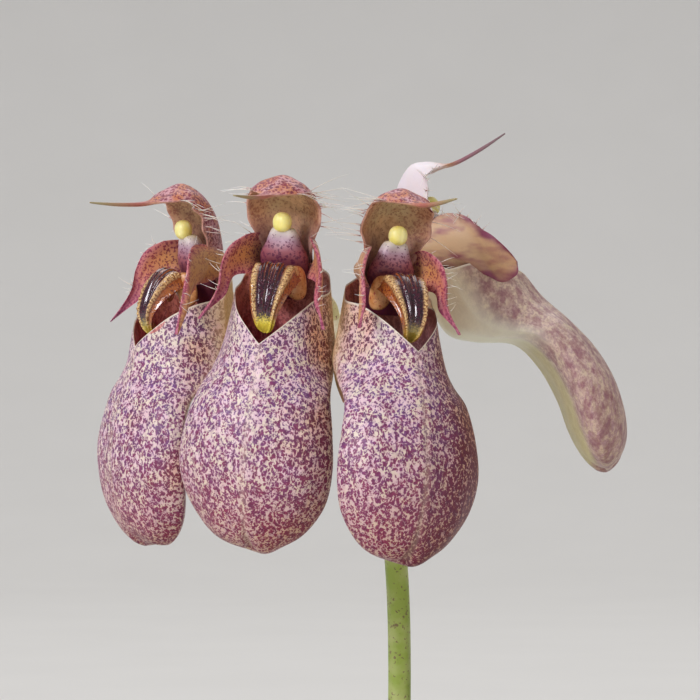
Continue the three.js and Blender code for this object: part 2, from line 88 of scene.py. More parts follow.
def row_at(rows, share):
    """A Catmull-Rom run through rows of measures: share 0 is the first row, 1 the last."""
    rows = np.asarray(rows, float)
    place = np.clip(share, 0, 1) * (len(rows) - 1)
    index = np.minimum(place.astype(int), len(rows) - 2)
    part = (place - index)[..., None]
    before, here, after, beyond = (rows[np.clip(index + k, 0, len(rows) - 1)] for k in (-1, 0, 1, 2))
    slope, next_slope = (after - before) / 2, (beyond - here) / 2
    bend = 3 * (after - here) - 2 * slope - next_slope
    twist = 2 * (here - after) + slope + next_slope
    return here + part * (slope + part * (bend + part * twist))


def around(count):
    """The angles of count points round a ring, as a row."""
    return np.linspace(0, 2 * math.pi, count, endpoint=False)[None, :]


def ball_angles(rows, count):
    """The angles down from the pole of a ball, as a column, and round it, as a row."""
    return np.linspace(0.03, math.pi - 0.03, rows)[:, None], around(count)


def edge_to_edge(count):
    """Values from -1 to 1 that lie closer together near both ends: sin of even steps."""
    return np.sin(np.linspace(-math.pi / 2, math.pi / 2, count))


def upright_rings(x, y, radius, angle, height):
    """Level rings of points (x + radius cos a, y + radius sin a, height)."""
    places = (x + radius * np.cos(angle), y + radius * np.sin(angle), height)
    return np.stack(np.broadcast_arrays(*places), -1)


def wander(points, size, seed):
    """Slow unevenness, mostly between -1 and 1: six sine waves of about the given size, added up."""
    waves = np.random.default_rng(seed).normal(size=(6, 3)) * (2 * math.pi / size) * 0.6
    phases = np.random.default_rng(seed + 1).uniform(0, 2 * math.pi, 6)
    return np.sin(points @ waves.T + phases).sum(axis=-1) / 4


# %% [markdown]
# ## Tools for meshes
# Almost every piece of a plant is a body carried along a path: a pouch, a leaf, a stem. So one
# function joins rings of points into a closed body. The rings of a blade run along its upper face
# and back along its lower face, which is why each end is closed by a strip across the ring.

# %% Meshes
def mesh_object(name, points, faces, marks=None):
    """Puts points in millimetres and arrays of three- or four-cornered faces into a new object."""
    mesh = bpy.data.meshes.new(name)
    corners = np.concatenate([part.ravel() for part in faces])
    sizes = np.concatenate([np.full(len(part), part.shape[1]) for part in faces])
    mesh.vertices.add(len(points))
    mesh.vertices.foreach_set("co", (points * MM).astype(np.float32).ravel())
    mesh.loops.add(len(corners))
    mesh.loops.foreach_set("vertex_index", corners.astype(np.int32))
    mesh.polygons.add(len(sizes))
    starts = np.concatenate([[0], np.cumsum(sizes)[:-1]])
    mesh.polygons.foreach_set("loop_start", starts.astype(np.int32))
    mesh.polygons.foreach_set("use_smooth", np.ones(len(sizes), bool))
    mesh.update(calc_edges=True)
    mesh.validate()
    for mark, values in (marks or {}).items():
        layer = mesh.attributes.new(mark, "FLOAT", "POINT")
        values = np.broadcast_to(values, len(points))
        layer.data.foreach_set("value", values.astype(np.float32).ravel())
    piece = bpy.data.objects.new(name, mesh)
    bpy.context.scene.collection.objects.link(piece)
    return piece


def loft_faces(rows, count, join_ends=False):
    """Quads between neighbouring rings, and a strip across the first and the last ring."""
    spans = rows if join_ends else rows - 1
    here = (np.arange(spans)[:, None] * count + np.arange(count)).ravel()
    after = (np.arange(spans)[:, None] * count + (np.arange(count) + 1) % count).ravel()
    shift = np.repeat((np.arange(spans) + 1) % rows - np.arange(spans), count) * count
    walls = np.stack([here, after, after + shift, here + shift], axis=1)
    if join_ends:
        return walls
    side = np.arange(count // 2 - 1)
    strip = np.stack([side + 1, side, count - 1 - side, count - 2 - side], axis=1)
    last = (rows - 1) * count
    return np.concatenate([walls, strip, last + strip[:, ::-1]])


def volume(points, quads):
    """Six times the volume that the quads close round, negative when they face inwards."""
    a, b, c, d = (points[quads[:, k]] for k in range(4))
    return (np.einsum("ij,ij->", a, np.cross(b, c)) + np.einsum("ij,ij->", a, np.cross(c, d)))


def loft(name, rings, marks=None, join_ends=False, sharp=60):
    """A closed body through rings, an array of rows by points by 3, facing outwards."""
    rows, count, _ = rings.shape
    points = rings.reshape(-1, 3)
    quads = loft_faces(rows, count, join_ends)
    if volume(points, quads) < 0:
        quads = quads[:, ::-1]
    flat = {mark: np.broadcast_to(values, (rows, count)).ravel()
            for mark, values in (marks or {}).items()}
    piece = mesh_object(name, points, [quads], flat)
    piece.data.set_sharp_from_angle(angle=math.radians(sharp))
    return piece


def two_faces(across, along):
    """For a blade: the across values out and back, which face each is on, and along as a column."""
    over = np.concatenate([across, across[::-1]])
    face = np.concatenate([np.zeros(len(across)), np.ones(len(across))])
    return over[None, :], face[None, :], along[:, None]


def frames(path):
    """Unit tangents of a path, and two directions square to it."""
    along = np.gradient(path, axis=0)
    along /= np.linalg.norm(along, axis=1, keepdims=True)
    reference = np.where(np.abs(along[:, :1]) > 0.9, [[0.0, 1.0, 0.0]], [[1.0, 0.0, 0.0]])
    side = reference - along * np.einsum("ij,ij->i", reference, along)[:, None]
    side /= np.linalg.norm(side, axis=1, keepdims=True)
    return along, side, np.cross(along, side)


def tube(name, path, radius, sides=24, marks=None, join_ends=False):
    """A round stem: centre + radius * (side cos a + front sin a). radius may vary along and round it."""
    _, side, front = frames(path)
    angle = around(sides)[..., None]
    wide = np.broadcast_to(radius, (len(path), sides))[..., None]
    rings = path[:, None] + wide * (side[:, None] * np.cos(angle) + front[:, None] * np.sin(angle))
    return loft(name, rings, marks, join_ends)


def settle(piece, slot, material, *nodes):
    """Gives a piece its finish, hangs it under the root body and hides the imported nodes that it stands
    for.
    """
    piece.data.materials.clear()
    piece.data.materials.append(material)
    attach(piece, "root")
    if nodes:
        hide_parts(*nodes)
    print(piece.name, len(piece.data.polygons), "faces")


# %% [markdown]
# ## Tools for finishes
# One function adds a node with its settings and its links. A value that is a socket becomes a link,
# and any other value is set. Every finish reads Object coordinates, in metres, so a pattern of
# one millimetre has a scale near 1000, or it reads a mark that the mesh carries at its points.
# A lump of the noise is a little over half a cell of its grid, and LUMPS_PER_CELL allows for that.

# %% Finishes
def start_material(name):
    """An empty node tree with its output."""
    material = bpy.data.materials.new(name)
    material.use_nodes = True
    material.node_tree.nodes.clear()
    return material, material.node_tree


def node(tree, kind, settings=None, **inputs):
    """Adds a node. settings are its own properties. inputs are its sockets by name, with underscores
    for spaces, or by number, as i0."""
    made = tree.nodes.new("ShaderNode" + kind)
    for key, value in (settings or {}).items():
        setattr(made, key, value)
    for key, value in inputs.items():
        numbered = key[0] == "i" and key[1:].isdigit()
        socket = made.inputs[int(key[1:]) if numbered else key.replace("_", " ")]
        if isinstance(value, bpy.types.NodeSocket):
            tree.links.new(value, socket)
        else:
            socket.default_value = value
    return made


def ramp(tree, value, *stops):
    """A colour ramp whose stops are pairs of place and hex colour."""
    made = node(tree, "ValToRGB", Fac=value)
    elements = made.color_ramp.elements
    while len(elements) > len(stops):
        elements.remove(elements[-1])
    while len(elements) < len(stops):
        elements.new(1)
    for element, (place, code) in zip(elements, stops):
        element.position = place
        element.color = linear(code)
    return made.outputs["Color"]


def window(tree, value, low, high, to_low=0.0, to_high=1.0):
    """Maps low..high onto to_low..to_high, held at the ends."""
    return node(tree, "MapRange", {"clamp": True}, Value=value, From_Min=low, From_Max=high,
                To_Min=to_low, To_Max=to_high).outputs["Result"]


def blend(tree, share, first, second):
    """Blends two colours, given as sockets or hex values."""
    made = node(tree, "Mix", {"data_type": "RGBA"}, i0=share)
    for place, value in ((6, first), (7, second)):
        if isinstance(value, str):
            made.inputs[place].default_value = linear(value)
        else:
            tree.links.new(value, made.inputs[place])
    return made.outputs[2]


def maths(tree, how, first, second=0.0):
    """One sum on two numbers or sockets."""
    return node(tree, "Math", {"operation": how}, i0=first, i1=second).outputs[0]


def plus(tree, first, second):
    """first + second."""
    return maths(tree, "ADD", first, second)


def times(tree, first, second):
    """first * second."""
    return maths(tree, "MULTIPLY", first, second)


def sine(tree, value, speed):
    """sin(speed * value), for even stripes."""
    return maths(tree, "SINE", times(tree, value, speed))


def mark(tree, name):
    """The value that the mesh carries under this name."""
    return node(tree, "Attribute", {"attribute_name": name}).outputs["Fac"]


def place(tree, scale=(1, 1, 1)):
    """Object coordinates, stretched by scale."""
    where = node(tree, "TexCoord").outputs["Object"]
    return node(tree, "Mapping", Vector=where, Scale=scale).outputs["Vector"]


LUMPS_PER_CELL = 1 / 0.55


def noise(tree, vector, size_mm, detail=2.0, roughness=0.5, distortion=0.0):
    """Fractal noise whose lumps are about size_mm across."""
    return node(tree, "TexNoise", Vector=vector, Scale=LUMPS_PER_CELL / (size_mm * MM), Detail=detail,
                Roughness=roughness, Distortion=distortion).outputs["Fac"]


def bent(tree, vector, size_mm, reach_mm):
    """The vector pushed about by noise of the given size, by up to reach_mm."""
    scale = LUMPS_PER_CELL / (size_mm * MM)
    push = node(tree, "TexNoise", Vector=vector, Scale=scale, Detail=1.0).outputs["Color"]
    reach = (2 * reach_mm * MM,) * 3
    settings = {"operation": "MULTIPLY_ADD"}
    return node(tree, "VectorMath", settings, i0=push, i1=reach, i2=vector).outputs[0]


def dots(tree, vector, spacing_mm, grow):
    """Uneven dots: cells spacing_mm apart, kept where the distance to a cell's heart, roughened by
    noise, is under grow. A grow of 0.3 leaves separate dots, and 0.5 lets them run together."""
    away = node(tree, "TexVoronoi", {"feature": "F1"}, Vector=vector, Scale=1 / (spacing_mm * MM),
                Randomness=0.95).outputs["Distance"]
    rag = window(tree, noise(tree, vector, spacing_mm * 0.7, 1), 0.3, 0.7, -0.2, 0.2)
    return window(tree, maths(tree, "SUBTRACT", plus(tree, grow, rag), away), -0.09, 0.09)


def relief(tree, height, depth_mm, strength=0.6, under=None):
    """A bump whose full height is depth_mm."""
    made = node(tree, "Bump", Height=height, Distance=depth_mm * MM, Strength=strength)
    if under is not None:
        tree.links.new(under, made.inputs["Normal"])
    return made.outputs["Normal"]


def finish_material(material, tree, color, roughness, normal=None, **own):
    """The surface shader. A roughness that varies comes as a socket; the other values are set on it."""
    shader = node(tree, "BsdfPrincipled")
    node(tree, "OutputMaterial", Surface=shader.outputs["BSDF"])
    for label, value in (("Base Color", color), ("Roughness", roughness), ("Normal", normal)):
        if isinstance(value, bpy.types.NodeSocket):
            tree.links.new(value, shader.inputs[label])
        elif value is not None:
            shader.inputs[label].default_value = value
    for label, value in own.items():
        shader.inputs[label.replace("_", " ")].default_value = value
    return material


# %% [markdown]
# ## Camera, light and floor
# The flowers are photographed level with their mouths, from far enough away that the four pouches
# keep their true proportions. The frame is 70 mm wide where the middle flowers stand, so a long
# lens is used. Three soft lamps, a pale floor that rises far behind, and an even sky light it.

# %% Camera, light and floor
FRAME_WIDTH = 70
VIEW_DISTANCE = 400
FOCUS = np.array([1.3, -20.0, 186.0])
SENSOR = 36


def add_camera():
    """A level long lens: focal length = sensor width * distance / frame width."""
    data = bpy.data.cameras.new("camera")
    data.sensor_width = SENSOR
    data.lens = SENSOR * VIEW_DISTANCE / FRAME_WIDTH
    data.clip_start = 0.01
    data.clip_end = 50
    camera = bpy.data.objects.new("camera", data)
    camera.location = (FOCUS - [0, VIEW_DISTANCE, 0]) * MM
    camera.rotation_euler = (math.radians(90), 0, 0)
    bpy.context.scene.collection.objects.link(camera)
    bpy.context.scene.camera = camera


def add_lamp(name, at, width, power, color="#ffffff"):
    """A square soft lamp that faces the flowers."""
    data = bpy.data.lights.new(name, "AREA")
    data.shape = "SQUARE"
    data.size = width
    data.energy = power
    data.color = linear(color)[:3]
    lamp = bpy.data.objects.new(name, data)
    lamp.location = at
    away = np.array(at) - FOCUS * MM
    tilt = math.atan2(math.hypot(away[0], away[1]), away[2])
    lamp.rotation_euler = (tilt, 0, math.atan2(away[0], -away[1]))
    lamp.visible_camera = False
    bpy.context.scene.collection.objects.link(lamp)


def add_floor():
    """A floor that bends up into a wall: flat, then a quarter circle, then upright, in metres."""
    bend, near, far, top, side = 1.6, -14.0, 2.6, 5.0, 14
    angle = np.linspace(0, math.pi / 2, 24)
    curve_y = np.concatenate([[near], far + bend * np.sin(angle), [far + bend]])
    curve_z = np.concatenate([[0], bend * (1 - np.cos(angle)), [top]])
    points = np.array([[x, y, z] for x in (-side, side) for y, z in zip(curve_y, curve_z)]) / MM
    count = len(curve_y)
    step = np.arange(count - 1)
    quads = np.stack([step, step + count, step + count + 1, step + 1], axis=1)
    floor = mesh_object("floor", points, [quads])
    material, tree = start_material("painted studio floor")
    mottle = noise(tree, place(tree), 170, 3)
    floor.data.materials.append(finish_material(
        material, tree, ramp(tree, mottle, (0.3, "#dbd9d6"), (0.7, "#dddbd8")), 0.85))


add_camera()
add_floor()
add_lamp("key", (-0.8, -0.9, 0.7), 0.4, 10.5, "#fdf8ff")
add_lamp("fill", (0.9, -0.8, 0.3), 0.6, 1.2, "#ffe0bc")
add_lamp("ceiling", (0.0, 1.4, 3.2), 4.0, 95)
sky = bpy.data.worlds.new("even sky")
sky.use_nodes = True
sky.node_tree.nodes["Background"].inputs["Color"].default_value = linear("#f0f0f2")
sky.node_tree.nodes["Background"].inputs["Strength"].default_value = 0.34
bpy.context.scene.world = sky
bpy.context.scene.view_settings.view_transform = "Standard"
print("camera", FRAME_WIDTH, "mm wide at", VIEW_DISTANCE, "mm")

# %% [markdown]
# ## Where the flowers stand
# Each flower has its own axes at the foot of its column: x to its right, forward away from its
# back, and height. The four share one form and differ in where they stand, how far they turn, how
# far they are lifted and how plump they are, which is how an umbel grows.

# %% Flower places
FLOWERS = [
    dict(column=(-15.8, -8.0, 194.8), yaw=-63, lift=-5.5, lean=6, plump=1.0, stray=0.0, sweep=(0, -12),
         rise=0.2, bract=-92, ripe=0.5),
    dict(column=(-5.7, -17.0, 195.3), yaw=-17, lift=-8, lean=5, plump=0.97, stray=-1.8, sweep=(0, 0),
         rise=0.75, bract=-40, ripe=1.0),
    dict(column=(5.95, -17.5, 193.9), yaw=26, lift=-1, lean=3.5, plump=0.94, stray=1.0, sweep=(0, 20),
         rise=-0.25, bract=11, ripe=0.35),
    dict(column=(11.4, -2.5, 197.8), yaw=96.5, lift=25, lean=3, plump=0.9, stray=0.0, sweep=(0, 0),
         rise=0.6, bract=60, ripe=1.0),
]


def to_world(flower, x, forward, height):
    """Turns a flower's own x, forward and height into the plant's: lean, then lift, then yaw."""
    lean, lift, yaw = (math.radians(flower[key]) for key in ("lean", "lift", "yaw"))
    x, forward, height = np.broadcast_arrays(x, forward, height)
    x, height = (x * math.cos(lean) + height * math.sin(lean),
                 height * math.cos(lean) - x * math.sin(lean))
    ahead = forward * math.cos(lift) - height * math.sin(lift)
    up = forward * math.sin(lift) + height * math.cos(lift)
    turned = np.stack([x * math.cos(yaw) + ahead * math.sin(yaw),
                       x * math.sin(yaw) - ahead * math.cos(yaw), up], axis=-1)
    return turned + flower["column"]


# %% [markdown]
# ## The pouch
# The two side sepals of the real flower grow together along both edges into a bag with a seam down
# its front, a V-shaped mouth and a heel behind. It is a stack of rings: each is two half ovals that
# meet at the widest points, a flat one behind and a full one in front. The seam is pressed in, the
# tip is two uneven lobes, and the wall thins to a fine edge at the mouth.

# %% Pouch
POUCH_ROWS = [
    [-29.0, 5.7, 4.7, 1.0], [-28.2, 6.9, 3.9, 3.7], [-26.6, 8.1, 3.3, 5.7], [-23.8, 9.0, 3.2, 7.5],
    [-20.3, 9.4, 3.5, 8.2], [-16.5, 9.0, 3.2, 7.8], [-13.2, 7.9, 1.8, 7.0], [-11.3, 7.0, -1.7, 6.4],
    [-9.4, 6.2, -4.1, 6.0], [-6.5, 5.6, -4.6, 5.4], [-3.5, 5.2, -4.6, 4.9], [-1.0, 4.9, -4.5, 4.5],
]
NOTCH_SHARE = 0.775
SIDE_RIM_SHARE = 0.915
EDGE_PLACE = 0.28
# How much painted shade each flower gets on its right side: the side mark carries it, and there the
# flecks grow denser and redder and the ground warmer.
SIDE_PAINTED_SHADE = (0.55, 0.9, 1.2, 0.9)
TIP_SLANT = (-1, 1, 1, 1)
BLURRED, PAINTED_SHADOW_FLOWER = 3, 2  # the flower that is plain and pale, and the one whose far side gets a painted shadow
POUCH_WALL = 0.55
POUCH_SIDES = 176


def make_pouch(flower, number):
    """x = wide sin a, forward = edge + depth cos a, height from the rows; inner rings are inset.
    The rim dips to the notch in front and is raised behind."""
    outside = np.concatenate([np.linspace(0, 0.06, 9)[:-1], np.linspace(0.06, 1, 130)])
    inside = np.linspace(1, 0.5, 46)[1:]
    share = np.concatenate([outside, inside])[:, None]
    deep = np.concatenate([np.zeros(len(outside)), np.ones(len(inside))])[:, None]
    angle = around(POUCH_SIDES)
    front, spread = np.cos(angle) > 0, np.abs(np.sin(angle))
    rim = np.where(front, mix(NOTCH_SHARE, SIDE_RIM_SHARE, spread), mix(1, SIDE_RIM_SHARE, spread))
    rows = row_at(POUCH_ROWS, share - (1 - rim) * share ** 3)
    height, reach, back, wide = np.moveaxis(rows, -1, 0)
    inset = deep * POUCH_WALL * ease(0, 0.12, 1 - share) + 0.12 * deep
    wide = wide * flower["plump"]
    edge = mix(back, reach, EDGE_PLACE)
    depth = np.where(front, reach - edge, edge - back)
    x = (wide - inset) * np.sin(angle)
    forward = edge + (depth - inset) * np.cos(angle)
    arc = wide * np.arctan2(np.sin(angle), np.cos(angle))
    low = 1 - ease(0.05, 0.3, share)
    seam = front * (0.16 * bump(0, 0.2, arc) - 0.08 * bump(0, 0.7, arc)) * (1 - deep)
    seam = seam * ease(1.02, 0.9, share)
    ribs = 0.06 * np.sin(9 * angle + number) * ease(0, 0.3, share) * (1 - deep)
    swell = 0.16 * wander(np.stack([x, forward, height], -1), 9, 50 + number) * (1 - deep)
    grown = 1 + (ribs + swell - seam) / np.maximum(depth, 2)
    forward = edge + (forward - edge) * grown
    x = x * (1 + (ribs + swell) / np.maximum(wide, 2))
    lobe = 0.6 * bump(0, 0.5, x) - 0.5 * bump(1.5, 1.3, x) * TIP_SLANT[number]
    raised = 1.3 * ease(0.85, 1, share) * ease(0.15, -0.5, np.cos(angle))
    height = height + low * lobe * (1 - deep) + raised
    level = (height - POUCH_ROWS[0][0]) / (POUCH_ROWS[-1][0] - POUCH_ROWS[0][0])
    marks = {
        "height": level, "inside": deep, "rim": bump(1, 0.01, share),
        "seam": bump(0, 0.3, arc) * front * (1 - deep), "side": np.sin(angle) * SIDE_PAINTED_SHADE[number],
        "back": ease(-0.55, -1, np.cos(angle)) * (1 - deep) * ease(0.02, 0.2, share),
        "heel": (ease(0.5, -0.2, np.cos(angle)) * ease(0.44, 0.68, level) if number == BLURRED
                 else ease(0.55, -0.4, np.cos(angle)) * ease(0.42, 0.75, level)),
        # The shade mark picks the flower that gets a painted shadow on its right and lower part.
        "shade": number == PAINTED_SHADOW_FLOWER, "pale": number == BLURRED,
    }
    return loft(f"pouch_{number + 1}", to_world(flower, x, forward, height), marks)


# %% Pouch finish: fleshy sepal skin, satin, mottled by pigment in the cells under it, with painted shade on the side turned from the light
def sepal_material(name):
    """Cream skin with a mauve wash and purple flecks. The flecks are separate dots near the mouth and
    grow into upright clumps towards the tip, and both grow redder and denser, over a warmer ground,
    towards the flower's right side, which is painted shade; one flower also gets a painted shadow."""
    material, tree = start_material(name)
    where = place(tree)
    tall = bent(tree, place(tree, (1, 1, 0.8)), 0.7, 0.25)
    height, side, pale = mark(tree, "height"), mark(tree, "side"), mark(tree, "pale")
    patches = noise(tree, where, 2.4, 2)
    low = window(tree, height, 0.8, 0.15)
    flank = times(tree, window(tree, maths(tree, "ABSOLUTE", side), 0.6, 0.95),
                  window(tree, height, 0.62, 0.85))
    # Flecks crowd at random, and closer towards the flower's right side as painted shade.
    crowd = plus(tree, window(tree, patches, 0.3, 0.7, -0.06, 0.06),
                 window(tree, side, 0.1, 1.2, 0, 0.08))
    clumps = noise(tree, bent(tree, place(tree, (1, 1, 0.55)), 0.5, 0.2), 0.75, 2)
    gather = window(tree, clumps, 0.4, 0.62, -0.05, 0.13)
    # Painted shadow on one flower: more flecks, a browner ground and darker flecks towards its right and
    # lower part.
    shade = times(tree, mark(tree, "shade"),
                  window(tree, maths(tree, "SUBTRACT", side, height), -1, 0.5))
    grow = plus(tree, plus(tree, crowd, gather), window(tree, low, 0, 1, 0.45, 0.52))
    grow = plus(tree, grow, times(tree, shade, 0.12))
    flecks = dots(tree, tall, 0.29, grow)
    # The ground warms at random and on the upper flanks, and towards the right side as painted shade.
    warm_tone_and_painted_shade = plus(tree, window(tree, noise(tree, where, 9, 2), 0.35, 0.65, -0.3, 0.3),
                 maths(tree, "MAXIMUM", window(tree, side, -0.1, 1.0), flank))
    cream = blend(tree, window(tree, noise(tree, where, 2.2, 2), 0.4, 0.6), "#eadfca", "#ecd0d8")
    ground = blend(tree, window(tree, warm_tone_and_painted_shade, 0.45, 1.1, 0, 0.9), cream, "#e6b088")
    ground = blend(tree, window(tree, height, 0.35, 0.02, 0, 0.75), ground, "#cfaa88")
    # Painted shadow: the ground turns brown.
    ground = blend(tree, times(tree, shade, 0.65), ground, "#b47e60")
    ground = blend(tree, times(tree, pale, 0.75), ground, "#d3bf9f")
    wash = window(tree, clumps, 0.4, 0.62, 0.15, 0.85)
    purple = blend(tree, window(tree, noise(tree, where, 1.4, 2), 0.4, 0.6), "#6e3a80", "#822866")
    tint = blend(tree, window(tree, height, 0.7, 0.95), purple, "#5c3a5c")
    tint = blend(tree, window(tree, warm_tone_and_painted_shade, 0.35, 0.9), tint, "#661c30")
    tint = blend(tree, window(tree, height, 0.55, 0.1, 0, 0.85), tint, "#8a1a44")
    # Painted shadow: the flecks turn dark red.
    tint = blend(tree, times(tree, shade, 0.6), tint, "#561024")
    tint = blend(tree, times(tree, pale, 0.7), tint, "#7a4048")
    ground = blend(tree, times(tree, wash, window(tree, low, 0, 1, 0.45, 1)), ground,
                   blend(tree, 0.42, "#e6c4c8", tint))
    tint = blend(tree, window(tree, clumps, 0.52, 0.66, 0, 0.5), tint, "#4a1038")
    far = window(tree, noise(tree, place(tree, (1, 1, 0.7)), 1.7, 2), 0.42, 0.62, 0, 0.7)
    ground = blend(tree, times(tree, pale, far), ground, "#94606c")
    strength = window(tree, pale, 0, 1, 0.95, 0.3)
    color = blend(tree, times(tree, flecks, strength), ground, tint)
    back = blend(tree, pale, "#c69a58", "#cfc788")
    color = blend(tree, window(tree, mark(tree, "back"), 0.2, 0.75, 0, 0.75), color, back)
    white = blend(tree, window(tree, height, 0.95, 0.66), "#e2d6b4", "#fdfbe8")
    heel = blend(tree, pale, "#d4b47c", white)
    color = blend(tree, window(tree, mark(tree, "heel"), 0.15, 0.8, 0, 0.85), color, heel)
    color = blend(tree, times(tree, mark(tree, "seam"), 0.22), color, "#e6d3b4")
    color = blend(tree, window(tree, mark(tree, "rim"), 0.3, 0.8), color, "#e9e0cd")
    streak = window(tree, noise(tree, place(tree, (1, 1, 0.3)), 1.2, 3), 0.42, 0.6)
    lining = blend(tree, streak, "#ee8c96", "#b42e48")
    lining = blend(tree, window(tree, side, -0.1, 0.6, 0, 0.6), lining, "#dcc4d0")
    lining = blend(tree, window(tree, height, 0.72, 0.86, 0, 0.5), lining, "#dca070")
    lining = blend(tree, times(tree, flecks, 0.5), lining, "#7e1c34")
    color = blend(tree, window(tree, mark(tree, "inside"), 0.4, 0.6), color, lining)
    grain = noise(tree, where, 0.35, 3)
    normal = relief(tree, flecks, 0.02, 0.25, relief(tree, grain, 0.05, 0.5))
    return finish_material(material, tree, color, window(tree, grain, 0.3, 0.7, 0.36, 0.5), normal,
                           Subsurface_Weight=0.06, Subsurface_Radius=(0.6, 0.3, 0.2),
                           Subsurface_Scale=0.0004, IOR=1.42)


pouch_skin = sepal_material("fleshy sepal skin")
for number, flower in enumerate(FLOWERS):
    settle(make_pouch(flower, number), "pouch", pouch_skin, f"flower_{number + 1}_pouch")

# %% [markdown]
# ## The hood
# The back sepal arches over the column like a bonnet and runs out into a thread. It is a blade
# carried along its own middle line: across it the blade bows towards the inner side of the bend,
# and its thickness is measured square to that bow, so that it stays even where it is steep.

# %% Blades along a bent line
def bent_blade(rows, along, across, taper=0.35, ridge=0.0, stray=0.0, droop=None, blunt=0.0):
    """Points x, forward and height of a blade, with over, face and share for its marks. A point is
    spine + bow over^2 to the inner side of the bend + thickness square to that bow."""
    over, face, share = two_faces(across, along)
    forward, height, wide, bow, thick = np.moveaxis(row_at(rows, share + 0 * over), -1, 0)
    if blunt:
        rounding = np.sqrt(np.clip(1 - ((share - 1 + blunt) / blunt).clip(0, 1) ** 2, 0.03, 1))
        wide, bow, thick = wide * rounding, bow * rounding, thick * rounding
    after = row_at(rows, np.minimum(share + 0.01, 1))
    before = row_at(rows, np.maximum(share - 0.01, 0))
    run = (after - before)[..., :2]
    run = run / np.linalg.norm(run, axis=-1, keepdims=True)
    inner = np.stack([run[..., 1], -run[..., 0]], -1)
    pull = inner if droop is None else np.broadcast_to(droop, inner.shape)
    slope_x, slope_in = -2 * bow * over, wide
    length = np.hypot(slope_x, slope_in)
    edge = taper + (1 - taper) * np.sqrt(np.maximum(1 - over ** 2, 0))
    sink = face * thick * edge - (1 - face) * ridge
    sag = bow * over ** 2
    inset = sink * slope_in / length
    x = stray * share ** 4 + wide * over + sink * slope_x / length
    return (x, forward + sag * pull[..., 0] + inset * inner[..., 0],
            height + sag * pull[..., 1] + inset * inner[..., 1], over, face, share + 0 * over)


# %% Hood
HOOD_ROWS = [
    [-4.5, -0.6, 2.5, 1.6, 0.7], [-4.3, 2.0, 3.0, 2.8, 0.6], [-3.7, 4.7, 3.9, 3.1, 0.5],
    [-2.3, 7.0, 3.9, 2.6, 0.5], [-0.3, 8.3, 3.6, 2.1, 0.45], [1.3, 8.0, 3.1, 1.2, 0.4],
    [2.4, 7.4, 2.4, 0.6, 0.4], [3.1, 7.0, 1.4, 0.2, 0.4], [3.9, 6.8, 0.6, 0, 0.4],
    [5.2, 6.8, 0.4, 0, 0.4], [7.6, 7.0, 0.3, 0, 0.35], [10.2, 7.3, 0.12, 0, 0.15],
]


def make_hood(flower, number):
    """The bent blade, with soft veins and a wavy margin added to its height."""
    along = np.concatenate([np.linspace(0, 0.7, 110), np.linspace(0.7, 1, 40)[1:]])
    across = edge_to_edge(45)
    x, forward, height, over, face, share = bent_blade(HOOD_ROWS, along, across, stray=flower["stray"])
    veins = 0.07 * np.cos(9 * over) * ease(0, 0.1, share) * ease(0.66, 0.5, share)
    frill = 0.16 * np.sin(46 * share + 5 * np.sign(over)) * np.abs(over) ** 6 * ease(0.62, 0.5, share)
    height = height + veins * ease(0.25, 0.45, share)
    forward = forward - veins * ease(0.5, 0.2, share) + frill
    marks = {"inside": face, "margin": np.abs(over), "along": share, "pale": number == BLURRED}
    return loft(f"hood_{number + 1}", to_world(flower, x, forward, height), marks)


# %% Hood finish: sepal skin, satin, spotted by pigment
def hood_material():
    """Sepal skin again, but redder outside, and olive-tan inside with brown flecks to the margins."""
    material, tree = start_material("hood sepal skin")
    where = place(tree)
    along, margin, pale = mark(tree, "along"), mark(tree, "margin"), mark(tree, "pale")
    crowd = window(tree, noise(tree, where, 1.6, 2), 0.3, 0.7, -0.1, 0.1)
    uneven = bent(tree, where, 0.6, 0.2)
    outer = dots(tree, uneven, 0.34, plus(tree, crowd, 0.5))
    skin = blend(tree, window(tree, noise(tree, where, 3, 2), 0.42, 0.6), "#c27a56", "#c69298")
    spot = blend(tree, window(tree, noise(tree, where, 1.8, 2), 0.4, 0.6), "#821a38", "#641838")
    outside = blend(tree, times(tree, outer, window(tree, pale, 0, 1, 0.9, 0.2)), skin, spot)
    inner = dots(tree, uneven, 0.33, plus(tree, crowd, window(tree, margin, 0.1, 1.0, 0.27, 0.48)))
    lining = blend(tree, window(tree, noise(tree, where, 6.4, 2), 0.4, 0.65), "#e0ba8c", "#c9b287")
    stain = window(tree, noise(tree, where, 1.1, 2), 0.45, 0.65, 0, 0.45)
    lining = blend(tree, stain, lining, "#a67a58")
    lining = blend(tree, window(tree, margin, 0.35, 1.0, 0, 0.6), lining, "#a9604c")
    lining = blend(tree, times(tree, inner, 0.5), lining, "#7a3030")
    lining = blend(tree, window(tree, along, 0.2, 0.03, 0, 0.6), lining, "#a98896")
    color = blend(tree, window(tree, mark(tree, "inside"), 0.4, 0.6), outside, lining)
    color = blend(tree, window(tree, margin, 0.95, 0.99, 0, 0.5), color, "#c9a08c")
    color = blend(tree, window(tree, along, 0.68, 0.78, 0, 0.75), color, "#b0645c")
    color = blend(tree, window(tree, along, 0.82, 0.96, 0, 0.8), color, "#a3a478")
    far = ramp(tree, along, (0.5, "#ebe6ea"), (0.66, "#c9936e"), (0.8, "#a07484"), (1.0, "#84707e"))
    color = blend(tree, times(tree, pale, 0.88), color, far)
    grain = noise(tree, where, 0.4, 3)
    return finish_material(material, tree, color, window(tree, grain, 0.3, 0.7, 0.42, 0.58),
                           relief(tree, grain, 0.05, 0.5), Subsurface_Weight=0.1,
                           Subsurface_Radius=(0.9, 0.5, 0.3), Subsurface_Scale=0.0006, IOR=1.42)


hood_skin = hood_material()
for number, flower in enumerate(FLOWERS):
    settle(make_hood(flower, number), "hood", hood_skin, f"flower_{number + 1}_hood")

# %% [markdown]
# ## The petals
# Two sickle-shaped petals stand out beside the column. Each lies in its own upright plane, so its
# outline is two edges in that plane, and points between them are pushed out into a shallow cup.
# One flower has broad blunt petals instead: PETAL_BROAD lowers their inner edge and rounds the end.

